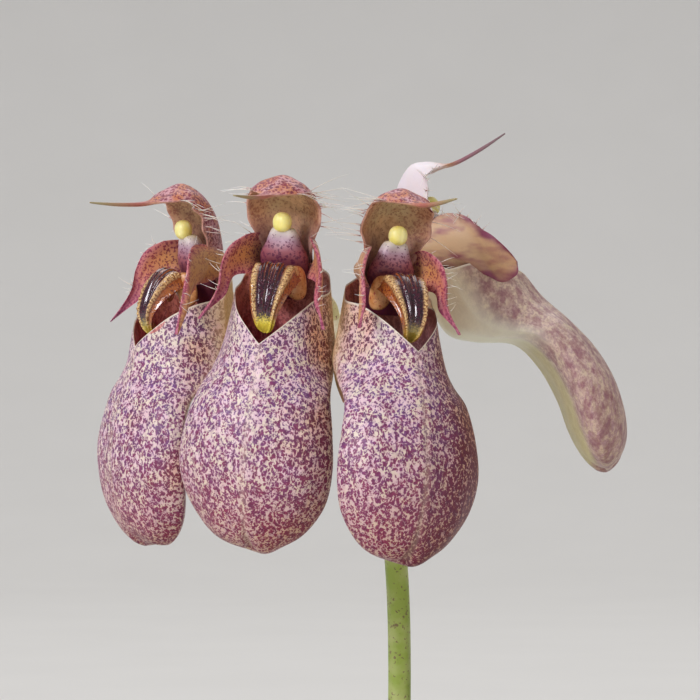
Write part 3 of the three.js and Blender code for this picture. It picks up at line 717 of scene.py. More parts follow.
# %% Petals
PETAL_ROWS = [
    [-2.6, 1.5, -2.6, -1.2], [-1.3, 2.0, -1.3, -1.6],
    [0.0, 2.3, 0.0, -1.8], [1.6, 2.1, 1.1, -1.8], [3.3, 1.1, 2.3, -1.9], [4.3, -0.7, 3.1, -2.5],
    [4.8, -2.7, 3.9, -3.7], [5.85, -4.35, 5.4, -4.8], [7.2, -6.0, 7.1, -6.08],
]
PETAL_BROAD = (0, 0, 0, 3.2)
PETAL_FOOT = 2.9
PETAL_FOOT_FORWARD = -0.5
PETAL_HEADING = 60
PETAL_THICKNESS = 0.5


def petal_points(over, face, share, side, sweep, broad=0.0):
    """out and height blend from the inner edge (over -1) to the outer edge (over 1). A broad petal
    hangs lower at its inner edge and closes in an arc, not in a point. The foot, where out is under
    0, turns in towards the column."""
    heading = np.radians(PETAL_HEADING + sweep)
    rows = row_at(PETAL_ROWS, share + 0 * over)
    outer_out, outer_height, inner_out, inner_height = np.moveaxis(rows, -1, 0)
    out = mix(inner_out, outer_out, (over + 1) / 2)
    lower = inner_height - broad * np.sin(0.85 * math.pi * share)
    upper = outer_height + 0.75 * broad * ease(0.4, 0.95, share)
    arc = np.sqrt(np.clip(1 - ((share - 0.78) / 0.22).clip(0, 1) ** 2, 0, 1))
    closing = np.where(broad > 0, arc, 1)
    height = (lower + upper) / 2 + (upper - lower) / 2 * over * closing
    edge = (0.3 + 0.7 * np.sqrt(np.maximum(1 - over ** 2, 0))) * (1 - 0.6 * share ** 3)
    cup = (0.5 - face) * PETAL_THICKNESS * edge - 0.9 * (1 - over ** 2) * (1 - share)
    cup = cup + 0.2 * np.sin(14 * share + 3 * over) * np.abs(over)
    free, foot = np.maximum(out, 0) * (1 - 0.05 * broad), np.minimum(out, 0)
    x = PETAL_FOOT + 0.35 * foot + free * np.cos(heading) - cup * np.sin(heading)
    forward = PETAL_FOOT_FORWARD + foot + free * np.sin(heading) + cup * np.cos(heading)
    return side * x, forward, height


def make_petal(flower, number, side, label):
    """Points out and back across the blade, closer together at its two edges."""
    over, face, share = two_faces(edge_to_edge(25), np.linspace(0, 1, 80))
    sweep = flower["sweep"][side > 0]
    x, forward, height = petal_points(over, face, share, side, sweep, PETAL_BROAD[number])
    marks = {"outer": face, "margin": np.abs(over), "along": share, "pale": number == BLURRED}
    return loft(f"petal_{label}_{number + 1}", to_world(flower, x, forward, height), marks)


# %% Petal finish: thin velvety skin with a soft sheen
def petal_material():
    """Thin velvety petal: orange-tan in the middle, magenta at its edges and tip, all flecked."""
    material, tree = start_material("velvety petal")
    where = place(tree)
    along, margin, pale = mark(tree, "along"), mark(tree, "margin"), mark(tree, "pale")
    crowd = window(tree, noise(tree, where, 1.6, 2), 0.3, 0.7, -0.09, 0.09)
    grow = plus(tree, crowd, window(tree, margin, 0.2, 1.0, 0.37, 0.5))
    flecks = dots(tree, bent(tree, where, 0.6, 0.2), 0.32, grow)
    ground = ramp(tree, along, (0.1, "#b5806a"), (0.35, "#dc9c60"), (0.6, "#cf8068"), (0.8, "#b05e70"),
                  (1.0, "#7c3268"))
    rim = times(tree, window(tree, margin, 0.2, 0.95), window(tree, along, 0.15, 0.45, 0.4, 0.85))
    ground = blend(tree, rim, ground, "#c67484")
    deep = ramp(tree, along, (0.1, "#6a2c48"), (0.45, "#8a2a38"), (0.7, "#8e1f50"), (1.0, "#571644"))
    deep = blend(tree, rim, deep, "#8c2450")
    outer = times(tree, window(tree, mark(tree, "outer"), 0.4, 0.6),
                  window(tree, margin, 0.95, 0.6, 0.15, 0.85))
    ground = blend(tree, outer, ground, "#c99a62")
    strength = times(tree, window(tree, pale, 0, 1, 0.9, 0.3), window(tree, outer, 0, 1, 1, 0.45))
    color = blend(tree, times(tree, flecks, strength), ground, deep)
    smear = noise(tree, place(tree, (0.3, 1, 1)), 2.2, 2)
    blurred = blend(tree, window(tree, smear, 0.44, 0.66), "#cfb490", "#96586e")
    color = blend(tree, times(tree, pale, window(tree, along, 0.85, 0.45, 0.4, 0.85)), color, blurred)
    crimson = times(tree, window(tree, plus(tree, margin, smear), 0.95, 1.45, 0, 0.85),
                    window(tree, along, 0.3, 0.6))
    color = blend(tree, times(tree, pale, crimson), color, "#7c3054")
    grain = noise(tree, where, 0.35, 3)
    return finish_material(material, tree, color, window(tree, grain, 0.3, 0.7, 0.42, 0.6),
                           relief(tree, grain, 0.04, 0.5), Subsurface_Weight=0.12,
                           Subsurface_Radius=(0.8, 0.3, 0.3), Subsurface_Scale=0.0006,
                           Sheen_Weight=0.15, Sheen_Roughness=0.4)


petal_skin = petal_material()
for number, flower in enumerate(FLOWERS):
    for side, label in ((-1, "left"), (1, "right")):
        settle(make_petal(flower, number, side, label), "petal", petal_skin,
               f"flower_{number + 1}_petal_{label}")

# %% [markdown]
# ## Hairs
# Long white hairs fringe the hood and shorter ones fringe the petals. Each hair is a three-sided
# tube that thins to its tip and sags a little: root + direction * t + sag * t^2. All hairs of a
# piece are made at once as one array of hairs by rings by three corners.

# %% Hairs
HAIR_RADIUS = 0.05
HAIR_RINGS = 9
HOOD_HAIRS = 26
PETAL_HAIRS = 28


def make_hairs(name, roots, aims, sag):
    """roots and sag: hairs by 3 in mm. aims: hairs by 3, the way to each tip, as long as the hair."""
    t = np.linspace(0, 1, HAIR_RINGS)[None, :, None]
    path = roots[:, None] + aims[:, None] * t + sag[:, None] * t ** 2
    side = np.cross(aims, [0.3, 0.2, 1.0])
    side /= np.linalg.norm(side, axis=1, keepdims=True)
    front = np.cross(aims, side)
    front /= np.linalg.norm(front, axis=1, keepdims=True)
    angle = np.radians([0, 120, 240])[None, None, :, None]
    radius = HAIR_RADIUS * (1 - 0.8 * t)[..., None]
    ring = side[:, None, None] * np.cos(angle) + front[:, None, None] * np.sin(angle)
    points = (path[:, :, None] + radius * ring).reshape(-1, 3)
    walls = loft_faces(HAIR_RINGS, 3)[: (HAIR_RINGS - 1) * 3]
    last = (HAIR_RINGS - 1) * 3
    ends = np.array([[2, 1, 0], [last, last + 1, last + 2]])
    starts = (np.arange(len(roots)) * HAIR_RINGS * 3)[:, None, None]
    walls, ends = (walls[None] + starts).reshape(-1, 4), (ends[None] + starts).reshape(-1, 3)
    if volume(points, walls) < 0:
        walls, ends = walls[:, ::-1], ends[:, ::-1]
    shares = np.broadcast_to(t, (len(roots), HAIR_RINGS, 3)).ravel()
    return mesh_object(name, points, [walls, ends], {"along": shares})


def hood_hairs(flower, number):
    """Hairs along the lower half of the hood, four in five of them from the margin turned away."""
    draws, count = np.random.default_rng(500 + number), HOOD_HAIRS
    shares = np.sort(draws.uniform(0.1, 0.56, count))
    x, forward, height, *_ = bent_blade(HOOD_ROWS, shares, np.array([-1.0, 1.0]), stray=flower["stray"])
    picked = ((np.arange(count) % 5 > 0) == (flower["yaw"] < 0)).astype(int)
    roots = to_world(flower, *(part[np.arange(count), picked] for part in (x, forward, height)))
    sides = np.where(picked == 1, 1.0, -1.0)
    long = draws.uniform(1.4, 4.0, count) * (0.6 if number == BLURRED else 1)
    away = to_world(flower, sides * long, draws.normal(-0.1, 0.3, count) * long,
                    draws.normal(0.05, 0.2, count) * long)
    sag = draws.normal(0, 0.25, (count, 3)) - UP * draws.uniform(0.0, 0.5, (count, 1))
    return make_hairs(f"hood_hairs_{number + 1}", roots, away - flower["column"], sag)


def petal_hairs(flower, number):
    """Shorter hairs from the outer margins of both petals."""
    draws, count = np.random.default_rng(600 + number), PETAL_HAIRS
    shares = draws.uniform(0.3, 0.85, count)[:, None]
    side = np.where(np.arange(count) % 2 == 0, -1, 1)[:, None]
    sweep = np.where(side > 0, flower["sweep"][1], flower["sweep"][0])
    x, forward, height = petal_points(np.ones((1, 1)), 0.5, shares, side, sweep, PETAL_BROAD[number])
    roots = to_world(flower, x[:, 0], forward[:, 0], height[:, 0])
    long = draws.uniform(0.5, 1.9, count)
    away = to_world(flower, side[:, 0] * long * 0.8, draws.normal(0.2, 0.4, count) * long,
                    draws.normal(0.25, 0.4, count) * long)
    sag = draws.normal(0, 0.22, (count, 3))
    return make_hairs(f"petal_hairs_{number + 1}", roots, away - flower["column"], sag)


# %% Hair finish: clear cell walls, smooth
def hair_material():
    """Translucent white hair, tinted at its root by the skin that it grows from."""
    material, tree = start_material("fine white hair")
    tone = noise(tree, place(tree), 0.6, 2)
    color = ramp(tree, plus(tree, mark(tree, "along"), window(tree, tone, 0.3, 0.7, -0.1, 0.1)),
                 (0.02, "#b98a86"), (0.25, "#e9e0d2"), (0.9, "#f6f2ea"))
    return finish_material(material, tree, color, window(tree, tone, 0.3, 0.7, 0.3, 0.42),
                           Subsurface_Weight=0.1, Subsurface_Scale=0.0002)


hair = hair_material()
for number, flower in enumerate(FLOWERS):
    settle(hood_hairs(flower, number), "hood", hair)
    settle(petal_hairs(flower, number), "petal", hair)

# %% [markdown]
# ## The lip
# The third petal is a thick tongue over a saddle, wet-looking and nearly black-red, with two rough
# gold keels that meet at a yellow tip and an orange flank on each side. It is a bent blade like the
# hood, with keels raised from its outer face and a groove between them.

# %% Lip
LIP_ROWS = [
    [0.75, -1.3, 2.0, 1.3, 0.7], [1.2, -0.5, 2.4, 1.8, 0.7], [2.1, -0.1, 2.6, 2.1, 0.8],
    [3.2, -0.8, 2.4, 1.9, 0.9], [4.2, -2.5, 1.9, 1.2, 1.0], [4.8, -4.3, 1.45, 0.7, 1.0],
    [4.6, -5.9, 1.0, 0.4, 1.0], [3.9, -7.1, 0.5, 0.2, 0.9],
]
LIP_DROOP = np.array([-0.45, -0.89])
KEEL_PLACE = 0.64
LOBE_CENTRE = [2.1, 0.9, -2.3]
LOBE_SIZE = [0.45, 1.15, 1.75]
LOBE_TURN = math.radians(40)


def make_lobe(flower, number, side, label):
    """The rounded side lobe: a flat ball, |cos|^0.8 and |sin|^0.8 round its edge, turned outwards."""
    tilt, angle = ball_angles(40, 64)
    flat = LOBE_SIZE[0] * np.cos(tilt) + 0 * angle
    across = LOBE_SIZE[1] * np.sin(tilt) ** 0.8 * np.sign(np.cos(angle)) * np.abs(np.cos(angle)) ** 0.8
    tall = LOBE_SIZE[2] * np.sin(tilt) ** 0.8 * np.sign(np.sin(angle)) * np.abs(np.sin(angle)) ** 0.8
    flat = flat - 0.25 * (across / LOBE_SIZE[1]) ** 2
    across = across - 0.12 * tall
    x = LOBE_CENTRE[0] + across * math.cos(LOBE_TURN) + flat * math.sin(LOBE_TURN)
    forward = LOBE_CENTRE[1] - across * math.sin(LOBE_TURN) + flat * math.cos(LOBE_TURN)
    points = to_world(flower, side * x, forward, LOBE_CENTRE[2] + tall)
    return loft(f"lip_lobe_{label}_{number + 1}", points, {"along": np.sin(tilt)})


def make_lip(flower, number):
    """Bells in the across direction raise the keels and press in the groove between them."""
    along = np.linspace(0, 1, 120)
    across = edge_to_edge(81)
    over, _, share = two_faces(across, along)
    grain = 0.04 * np.sin(90 * share + 4 * np.sin(19 * share)) + 0.025 * np.sin(163 * share + 2)
    arch = np.sin(math.pi * ease(0, 1, share * 0.93 + 0.03)) ** 0.5
    keel = (0.55 + grain) * bump(KEEL_PLACE, 0.13, np.abs(over)) * arch
    inner_keel = 0.16 * bump(0.3, 0.07, np.abs(over)) * arch * ease(0.9, 0.7, share)
    groove = -0.25 * bump(0, 0.12, over) * ease(0, 0.15, share) * ease(0.9, 0.7, share)
    lines = 0.03 * np.cos(38 * over) * bump(0, 0.45, over) * ease(0.85, 0.7, share)
    ridge = keel + inner_keel + groove + lines
    x, forward, height, over, face, share = bent_blade(
        LIP_ROWS, along, across, taper=0.5, ridge=ridge, droop=LIP_DROOP, blunt=0.1)
    marks = {
        "keel": bump(KEEL_PLACE, 0.13, np.abs(over)) * (1 - face), "middle": 1 - np.abs(over),
        "along": share, "ripe": flower["ripe"],
    }
    return loft(f"lip_{number + 1}", to_world(flower, x, forward, height), marks)


# %% Lip finishes: a smooth wet coat over the tongue, wax on the side lobes
def lip_material():
    """Glossy maroon skin under a clear wet coat, gold on the keels, yellow at the tip."""
    material, tree = start_material("glossy lip skin")
    where = place(tree)
    specks = noise(tree, where, 0.32, 2, 0.6)
    along, middle, keel = mark(tree, "along"), mark(tree, "middle"), mark(tree, "keel")
    body = blend(tree, window(tree, specks, 0.4, 0.6), "#22061a", "#4c0e28")
    rows = sine(tree, middle, 42)
    stripe = times(tree, window(tree, rows, 0.1, 0.8), window(tree, along, 0.55, 0.2))
    body = blend(tree, times(tree, stripe, 0.85), body, "#c06a24")
    flank = window(tree, middle, 0.3, 0.2)
    color = blend(tree, flank, body, blend(tree, window(tree, specks, 0.5, 0.62), "#a8602c", "#5c1a18"))
    bars = sine(tree, along, 260)
    rungs = window(tree, plus(tree, times(tree, bars, 0.05), specks), 0.38, 0.56)
    gold = blend(tree, rungs, "#7a431c", "#e6c082")
    color = blend(tree, window(tree, keel, 0.3, 0.65), color, gold)
    tip = window(tree, plus(tree, along, times(tree, specks, 0.2)), 0.88, 0.97)
    color = blend(tree, times(tree, tip, mark(tree, "ripe")), color, "#f2df52")
    rough = window(tree, keel, 0.2, 0.8, 0.12, 0.4)
    normal = relief(tree, noise(tree, where, 0.5, 2), 0.12, 0.8)
    return finish_material(material, tree, color, rough, normal, Coat_Weight=1.0, Coat_Roughness=0.05,
                           IOR=1.45, Subsurface_Weight=0.04, Subsurface_Scale=0.0005)


def lobe_material():
    """Smooth waxy side lobe: orange-tan, with a few red spots and a brown rim that is painted shade
    along its edge.
    """
    material, tree = start_material("waxy lip lobe")
    where = place(tree)
    base = blend(tree, window(tree, noise(tree, where, 1.2, 2), 0.4, 0.62), "#dca870", "#c98a50")
    spots = window(tree, noise(tree, bent(tree, where, 0.5, 0.2), 0.7, 1.5), 0.6, 0.68, 0, 0.85)
    color = blend(tree, spots, base, "#a3281c")
    fine = dots(tree, where, 0.3, 0.2)
    color = blend(tree, times(tree, fine, 0.5), color, "#8a4424")
    # Painted shade: the lobe's rim turns brown.
    color = blend(tree, window(tree, mark(tree, "along"), 0.9, 1.0, 0, 0.5), color, "#8a4a2a")
    grain = noise(tree, where, 0.4, 3)
    return finish_material(material, tree, color, window(tree, grain, 0.3, 0.7, 0.26, 0.4),
                           relief(tree, grain, 0.03, 0.5), Subsurface_Weight=0.15, IOR=1.45,
                           Subsurface_Radius=(0.8, 0.4, 0.2), Subsurface_Scale=0.0006)


lip_skin, lobe_skin = lip_material(), lobe_material()
for number, flower in enumerate(FLOWERS):
    settle(make_lip(flower, number), "lip", lip_skin, f"flower_{number + 1}_lip")
    for side, label in ((-1, "left"), (1, "right")):
        settle(make_lobe(flower, number, side, label), "lip", lobe_skin)

# %% [markdown]
# ## The column and the anther cap
# The column is the flower's centre, a stout waxy post, white above and flushed mauve below. The
# anther cap is a pale yellow lid on its front. Both are rings carried up a leaning line. The cap
# gets a shallow groove down its middle, which shows as a soft line in its highlight.

# %% Column and anther cap
COLUMN_ROWS = [
    [-2.7, -4.4, 1.9, 1.0], [-1.9, -2.2, 2.4, 1.3], [-1.2, 0.0, 2.5, 1.45], [-0.9, 1.4, 1.85, 1.3],
    [-0.75, 2.3, 1.5, 1.15], [-0.65, 2.9, 1.15, 0.85], [-0.6, 3.1, 0.6, 0.4],
]
CAP_POWER = 2.3


def make_column(flower, number):
    """Ovals up a leaning line, with a wing on each side and a hollow in front."""
    share = np.linspace(0, 1, 60)[:, None]
    angle = around(72)
    forward, height, wide, deep = np.moveaxis(row_at(COLUMN_ROWS, share + 0 * angle), -1, 0)
    wings = 1 + 0.16 * bump(0, 0.5, np.cos(angle)) * bump(0.75, 0.2, share)
    hollow = 0.4 * bump(math.pi / 2, 0.6, angle) * bump(0.62, 0.16, share)
    x = wide * wings * np.cos(angle)
    ahead = forward + (deep - hollow) * np.sin(angle)
    return loft(f"column_{number + 1}", to_world(flower, x, ahead, height), {"along": share})


def make_anther(flower, number):
    """A rounded cap where |x|^p + |y|^p + |z|^p = 1, with p a little over a ball's 2."""
    tilt, angle = ball_angles(40, 56)
    groove = 1 - 0.05 * bump(math.pi / 2, 0.12, angle)
    parts = (np.sin(tilt) * np.cos(angle), np.cos(tilt), np.sin(tilt) * np.sin(angle))
    square = 1 / sum(np.abs(part) ** CAP_POWER for part in parts) ** (1 / CAP_POWER)
    x = 0.95 * square * np.sin(tilt) * np.cos(angle)
    ahead = -0.1 + 0.85 * square * np.sin(tilt) * np.sin(angle) * groove
    height = 3.6 + 1.0 * square * np.cos(tilt)
    return loft(f"anther_cap_{number + 1}", to_world(flower, x, ahead, height))


# %% Column and cap finishes: waxy tissue, a little translucent
def column_material():
    """Waxy white tissue above, mauve with purple flecks in the middle, dark maroon at its foot."""
    material, tree = start_material("waxy column")
    where = place(tree)
    along = mark(tree, "along")
    base = ramp(tree, along, (0.22, "#6a2c3c"), (0.4, "#a4606a"), (0.56, "#b596a6"), (0.7, "#d4c9c6"),
                (0.95, "#ddd8b4"))
    flecks = dots(tree, bent(tree, where, 0.6, 0.2), 0.36, window(tree, along, 0.75, 0.4, 0.12, 0.42))
    color = blend(tree, times(tree, flecks, 0.85), base, "#5e1f45")
    grain = noise(tree, where, 0.4, 2)
    return finish_material(material, tree, color, window(tree, grain, 0.3, 0.7, 0.36, 0.48),
                           relief(tree, grain, 0.03, 0.4), Subsurface_Weight=0.2,
                           Subsurface_Radius=(0.8, 0.6, 0.5), Subsurface_Scale=0.0008)


def anther_material():
    """Waxy yellow cap, a little greener at its rim."""
    material, tree = start_material("waxy anther cap")
    where = place(tree)
    color = ramp(tree, noise(tree, where, 2, 2), (0.35, "#f6ea80"), (0.65, "#fbf4a8"))
    grain = noise(tree, where, 0.43, 2)
    return finish_material(material, tree, color, 0.38, relief(tree, grain, 0.02, 0.4),
                           Subsurface_Weight=0.25, Subsurface_Radius=(0.8, 0.7, 0.3),
                           Subsurface_Scale=0.001)


column_skin, anther_skin = column_material(), anther_material()
for number, flower in enumerate(FLOWERS):
    settle(make_column(flower, number), "column", column_skin, f"flower_{number + 1}_column")
    settle(make_anther(flower, number), "anther", anther_skin, f"flower_{number + 1}_anther")

# %% [markdown]
# ## Flower stalks, their knob and the bracts
# The four stalks leave one knob at the top of the scape. Each swells into a ribbed ovary behind its
# flower. Below each stalk hangs a bract, a small dry scale with parallel veins. A stalk is a tube
# whose radius grows along it, times 1 + a little cos 6a for the ribs.

# %% Stalks and bracts
HUB = np.array([0.0, 0.0, 188.0])
OVARY_SEAT = (0, -4.9, -5.2)


def way_out(flower):
    """The direction in which a flower's stalk leaves the knob."""
    return unit(unit(to_world(flower, *OVARY_SEAT) - HUB) + flower["rise"] * UP)


def make_pedicel(flower, number):
    """radius = r (1 + a cos 6 angle), and both r and a grow towards the ovary."""
    seat = to_world(flower, *OVARY_SEAT)
    away = to_world(flower, 0, -1, 0.1) - flower["column"]
    outward = way_out(flower)
    stations = [HUB + 1.6 * outward, HUB + 4.3 * outward, seat + 3 * away, seat - 0.4 * away]
    share = np.linspace(0, 1, 70)
    path = row_at(stations, share)
    angle = around(48)
    swell = ease(0.3, 0.8, share)[:, None]
    radius = mix(0.72, 1.42, swell) * (1 + mix(0.02, 0.09, swell) * np.cos(6 * angle))
    return tube(f"pedicel_{number + 1}", path, radius, 48, {"along": share[:, None]})


BRACT_ROWS = [
    [2.6, -1.7, 0.65], [3.6, -2.3, 1.05], [4.3, -3.8, 1.1], [4.6, -5.5, 0.8], [4.7, -7.2, 0.2],
]


def make_bract(flower, number):
    """A thin blade that hangs outwards and down, bowed across by -0.45 over^2."""
    turn = math.radians(flower["bract"])
    outward = np.array([math.sin(turn), -math.cos(turn), 0])
    sideways = np.array([math.cos(turn), math.sin(turn), 0])
    over, face, share = two_faces(np.linspace(-1, 1, 21), np.linspace(0, 1, 48))
    reach, height, wide = np.moveaxis(row_at(BRACT_ROWS, share + 0 * over), -1, 0)
    veins = 0.03 * np.cos(17 * over)
    shift = mix(0.0, -0.3, face) + veins * (1 - 2 * face) - 0.45 * over ** 2
    shift = shift + 0.1 * np.sin(9 * share + over)
    rings = (HUB + outward * (reach + shift)[..., None] + sideways * (over * wide)[..., None]
             + UP * (height + 0.5 * shift)[..., None])
    return loft(f"bract_{number + 1}", rings, {"along": share})


# %% Stalk and bract finishes: smooth green tissue, and dry paper
def stalk_material(name, stops, fleck):
    """Smooth green stem tissue, coloured along its length, with fine flecks of pigment."""
    material, tree = start_material(name)
    where = place(tree)
    base = ramp(tree, mark(tree, "along"), *stops)
    base = blend(tree, window(tree, noise(tree, where, 4.6, 3), 0.4, 0.7, 0, 0.35), base, "#e8e2b4")
    grow = window(tree, noise(tree, where, 2, 2), 0.35, 0.65, 0.1, 0.3)
    flecks = dots(tree, bent(tree, where, 0.6, 0.2), 0.5, grow)
    strength = window(tree, mark(tree, "along"), 0.99, 0.9, 0.1, 0.7)
    color = blend(tree, times(tree, flecks, strength), base, fleck)
    grain = noise(tree, place(tree, (1, 1, 0.15)), 0.72, 3)
    return finish_material(material, tree, color, window(tree, grain, 0.3, 0.7, 0.4, 0.55),
                           relief(tree, grain, 0.06, 0.5), Subsurface_Weight=0.12,
                           Subsurface_Radius=(0.7, 0.6, 0.3), Subsurface_Scale=0.001)


def paper_material(name, light, dark, tip):
    """Dry bract: straw-coloured paper, with fibres along it and a tinted tip."""
    material, tree = start_material(name)
    where = place(tree)
    fibres = noise(tree, place(tree, (1, 1, 0.06)), 0.81, 3, 0.6)
    color = blend(tree, window(tree, fibres, 0.35, 0.65), light, dark)
    color = blend(tree, window(tree, noise(tree, where, 3.2, 3), 0.55, 0.72, 0, 0.6), color, "#6d4a33")
    color = blend(tree, window(tree, mark(tree, "along"), 0.7, 1.0, 0, 0.6), color, tip)
    return finish_material(material, tree, color, 0.72, relief(tree, fibres, 0.08, 0.7),
                           Subsurface_Weight=0.08, Subsurface_Radius=(0.5, 0.4, 0.25),
                           Subsurface_Scale=0.0006)


pedicel_skin = stalk_material(
    "fresh flower stalk",
    [(0.0, "#e3e2b8"), (0.25, "#dfdcae"), (0.6, "#d9b79a"), (1.0, "#c99a86")], "#7c3350")
bract_paper = paper_material("dry floral bract", "#d9c49a", "#b3946a", "#c98a86")
for number, flower in enumerate(FLOWERS):
    settle(make_pedicel(flower, number), "pedicel", pedicel_skin, f"flower_{number + 1}_pedicel")
    settle(make_bract(flower, number), "bract", bract_paper, f"flower_{number + 1}_bract")

# %% [markdown]
# ## The scape
# The stalk of the umbel rises from the rhizome between two bulbs and bends over at the top, where
# the knob with the flowers sits. It is a slender tube, slightly thicker at each node, and its knob
# is a rounded end with a lump for each flower. Three papery sheaths wrap it: each is a short funnel,
# open at one side, whose mouth runs out into a point.

# %% Scape and sheaths
SCAPE_TRACK = [
    [4, 7, 50], [4.6, 7.6, 75], [5.6, 8, 105], [6.4, 7, 135], [6.4, 5, 160], [4.4, 2.6, 176],
    [1.2, 0.7, 185], [0, 0, 188],
]
SCAPE_RADIUS = 1.2
SHEATH_STARTS = [0.13, 0.36, 0.59]
SHEATH_LENGTH = 12
scape_path = row_at(SCAPE_TRACK, np.linspace(0, 1, 400))
scape_steps = np.linalg.norm(np.diff(scape_path, axis=0), axis=1)
scape_length = scape_steps.sum()
scape_travel = np.concatenate([[0], np.cumsum(scape_steps)]) / scape_length


def along_scape(share):
    """Points on the scape at shares of its length."""
    return np.stack([np.interp(share, scape_travel, scape_path[:, k]) for k in range(3)], axis=-1)


def make_scape():
    """radius = 1.2 (1 + a bell at each node + 0.03 cos 5a), closed round at the top."""
    share = np.linspace(0.055, 1, 420)
    path = along_scape(share)
    angle = around(36)
    nodes = sum(bump(start, 0.006, share) for start in SHEATH_STARTS)[:, None]
    radius = SCAPE_RADIUS * (1 + 0.12 * nodes + 0.03 * np.cos(5 * angle + 6 * share[:, None]))
    radius = radius * np.sqrt(np.clip((1 - share) / 0.006, 0.02, 1))[:, None]
    return tube("scape_stem", path, radius, 36, {"along": share[:, None]})


def make_knob():
    """A ball of radius 2 whose surface rises towards each stalk."""
    tilt, angle = ball_angles(60, 80)
    normal = np.stack([np.sin(tilt) * np.cos(angle), np.sin(tilt) * np.sin(angle),
                       np.cos(tilt) + 0 * angle], -1)
    radius = 1.85 + 0.08 * wander(normal * 2, 1.5, 8)
    for flower in FLOWERS:
        radius = radius + 0.5 * np.exp((normal @ way_out(flower) - 1) / 0.08)
    return loft("scape_knob", HUB + normal * radius[..., None], {"along": 1.0})


def make_sheath(start, number):
    """Rings out and back: radius = 1.5 + 0.9 s^2, the mouth drawn up on one side, lips overlapping."""
    reach = SHEATH_LENGTH / scape_length
    share = np.concatenate([np.linspace(0, 1, 40), np.linspace(1, 0, 40)])
    outer = np.concatenate([np.ones(40), np.zeros(40)])[:, None]
    path = along_scape(start + reach * share)
    along, side, front = (np.concatenate([part, part[::-1]]) for part in frames(path[:40]))
    angle = around(64)
    ribs = 0.03 * np.cos(16 * angle) * outer
    radius = SCAPE_RADIUS + 0.3 + 0.9 * share[:, None] ** 2 + 0.45 * outer + ribs
    mouth = 4 * share[:, None] * np.maximum(np.cos(angle - 0.7), 0) ** 2
    dip = -1.6 * share[:, None] ** 3 * bump(0.7 + math.pi, 0.5, angle)
    rings = (path[:, None] + radius[..., None] * (side[:, None] * np.cos(angle)[..., None]
             + front[:, None] * np.sin(angle)[..., None]) + along[:, None] * (mouth + dip)[..., None])
    return loft(f"scape_sheath_{number}", rings, {"along": share[:, None]}, join_ends=True)


scape_skin = stalk_material(
    "fresh green scape",
    [(0.0, "#7d8a3c"), (0.6, "#8ba044"), (0.93, "#9fb548"), (0.985, "#d6d65a"), (1.0, "#ecebd2")],
    "#6a3340")
sheath_paper = paper_material("dry scape sheath", "#d2ba88", "#a8875a", "#8c6a48")
settle(make_scape(), "scape", scape_skin, "scape")
settle(make_knob(), "scape", scape_skin)
for number, start in enumerate(SHEATH_STARTS, 1):
    settle(make_sheath(start, number), "sheath", sheath_paper, f"sheath_{number}")

# %% [markdown]
# ## Pseudobulbs and leaves
# Each growth of the plant is a ridged, egg-shaped storage bulb with a single stiff leaf on top. A
# bulb is a ring of radius belly * (1 + a cos 5a), with deeper furrows and fine wrinkles than the
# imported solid. A leaf bends over as it grows: its lean angle increases along it, and each point is
# the sum of the short steps before it.

# %% Growths
GROWTHS = [
    dict(at=(-29, -10), size=0.82, heading=203, lean=(30, 88), leaf=0.84),
    dict(at=(-14.5, -4), size=0.95, heading=122, lean=(22, 84), leaf=0.96),
    dict(at=(0.5, -6.5), size=1.0, heading=262, lean=(34, 96), leaf=0.92),
    dict(at=(15.5, -4), size=1.04, heading=48, lean=(22, 86), leaf=1.0),
    dict(at=(30, 3), size=0.9, heading=-22, lean=(30, 84), leaf=0.86),
]
BULB_FOOT = 62.2
BULB_HEIGHT = 24
BULB_RADIUS = 6.6
GAP = 0.3
PETIOLE_RADIUS = 1.3
LEAF_LENGTH = 92
LEAF_HALF_WIDTH = 13.5
LEAF_THICKNESS = 0.9
LEAF_OUTLINE = [
    [0.1, 2.8], [0.1, 2.5], [0.42, 1.3], [0.8, 1], [0.96, 1], [1, 1], [0.88, 1], [0.32, 0.8],
]


def bulb_belly(share):
    """The bulb's outline, 1 at its widest: sin(pi (0.1 + 0.84 s^0.85))^0.8."""
    return np.sin(math.pi * (0.1 + 0.84 * share ** 0.85)) ** 0.8


def make_bulb(growth, number):
    """radius = belly (1 + ridges of cos 5a + slow and fine wrinkles)."""
    share = np.linspace(0, 1, 120)[:, None]
    angle = around(120)
    belly = bulb_belly(share)
    ridge = 0.05 * np.cos(5 * angle) - 0.03 * bump(0, 0.35, np.cos(2.5 * angle)) * bump(0.5, 0.35, share)
    points = np.stack([np.cos(angle) + 0 * share, np.sin(angle) + 0 * share, 3 * share + 0 * angle], -1)
    wrinkle = 0.012 * wander(points, 0.5, 70 + number) + 0.006 * np.sin(60 * angle + 3 * share)
    radius = BULB_RADIUS * growth["size"] * belly * (1 + ridge + wrinkle)
    height = BULB_FOOT + BULB_HEIGHT * growth["size"] * share
    rings = upright_rings(*growth["at"], radius, angle, height)
    return loft(f"bulb_{number}", rings, {"along": share, "ridge": np.cos(5 * angle)})


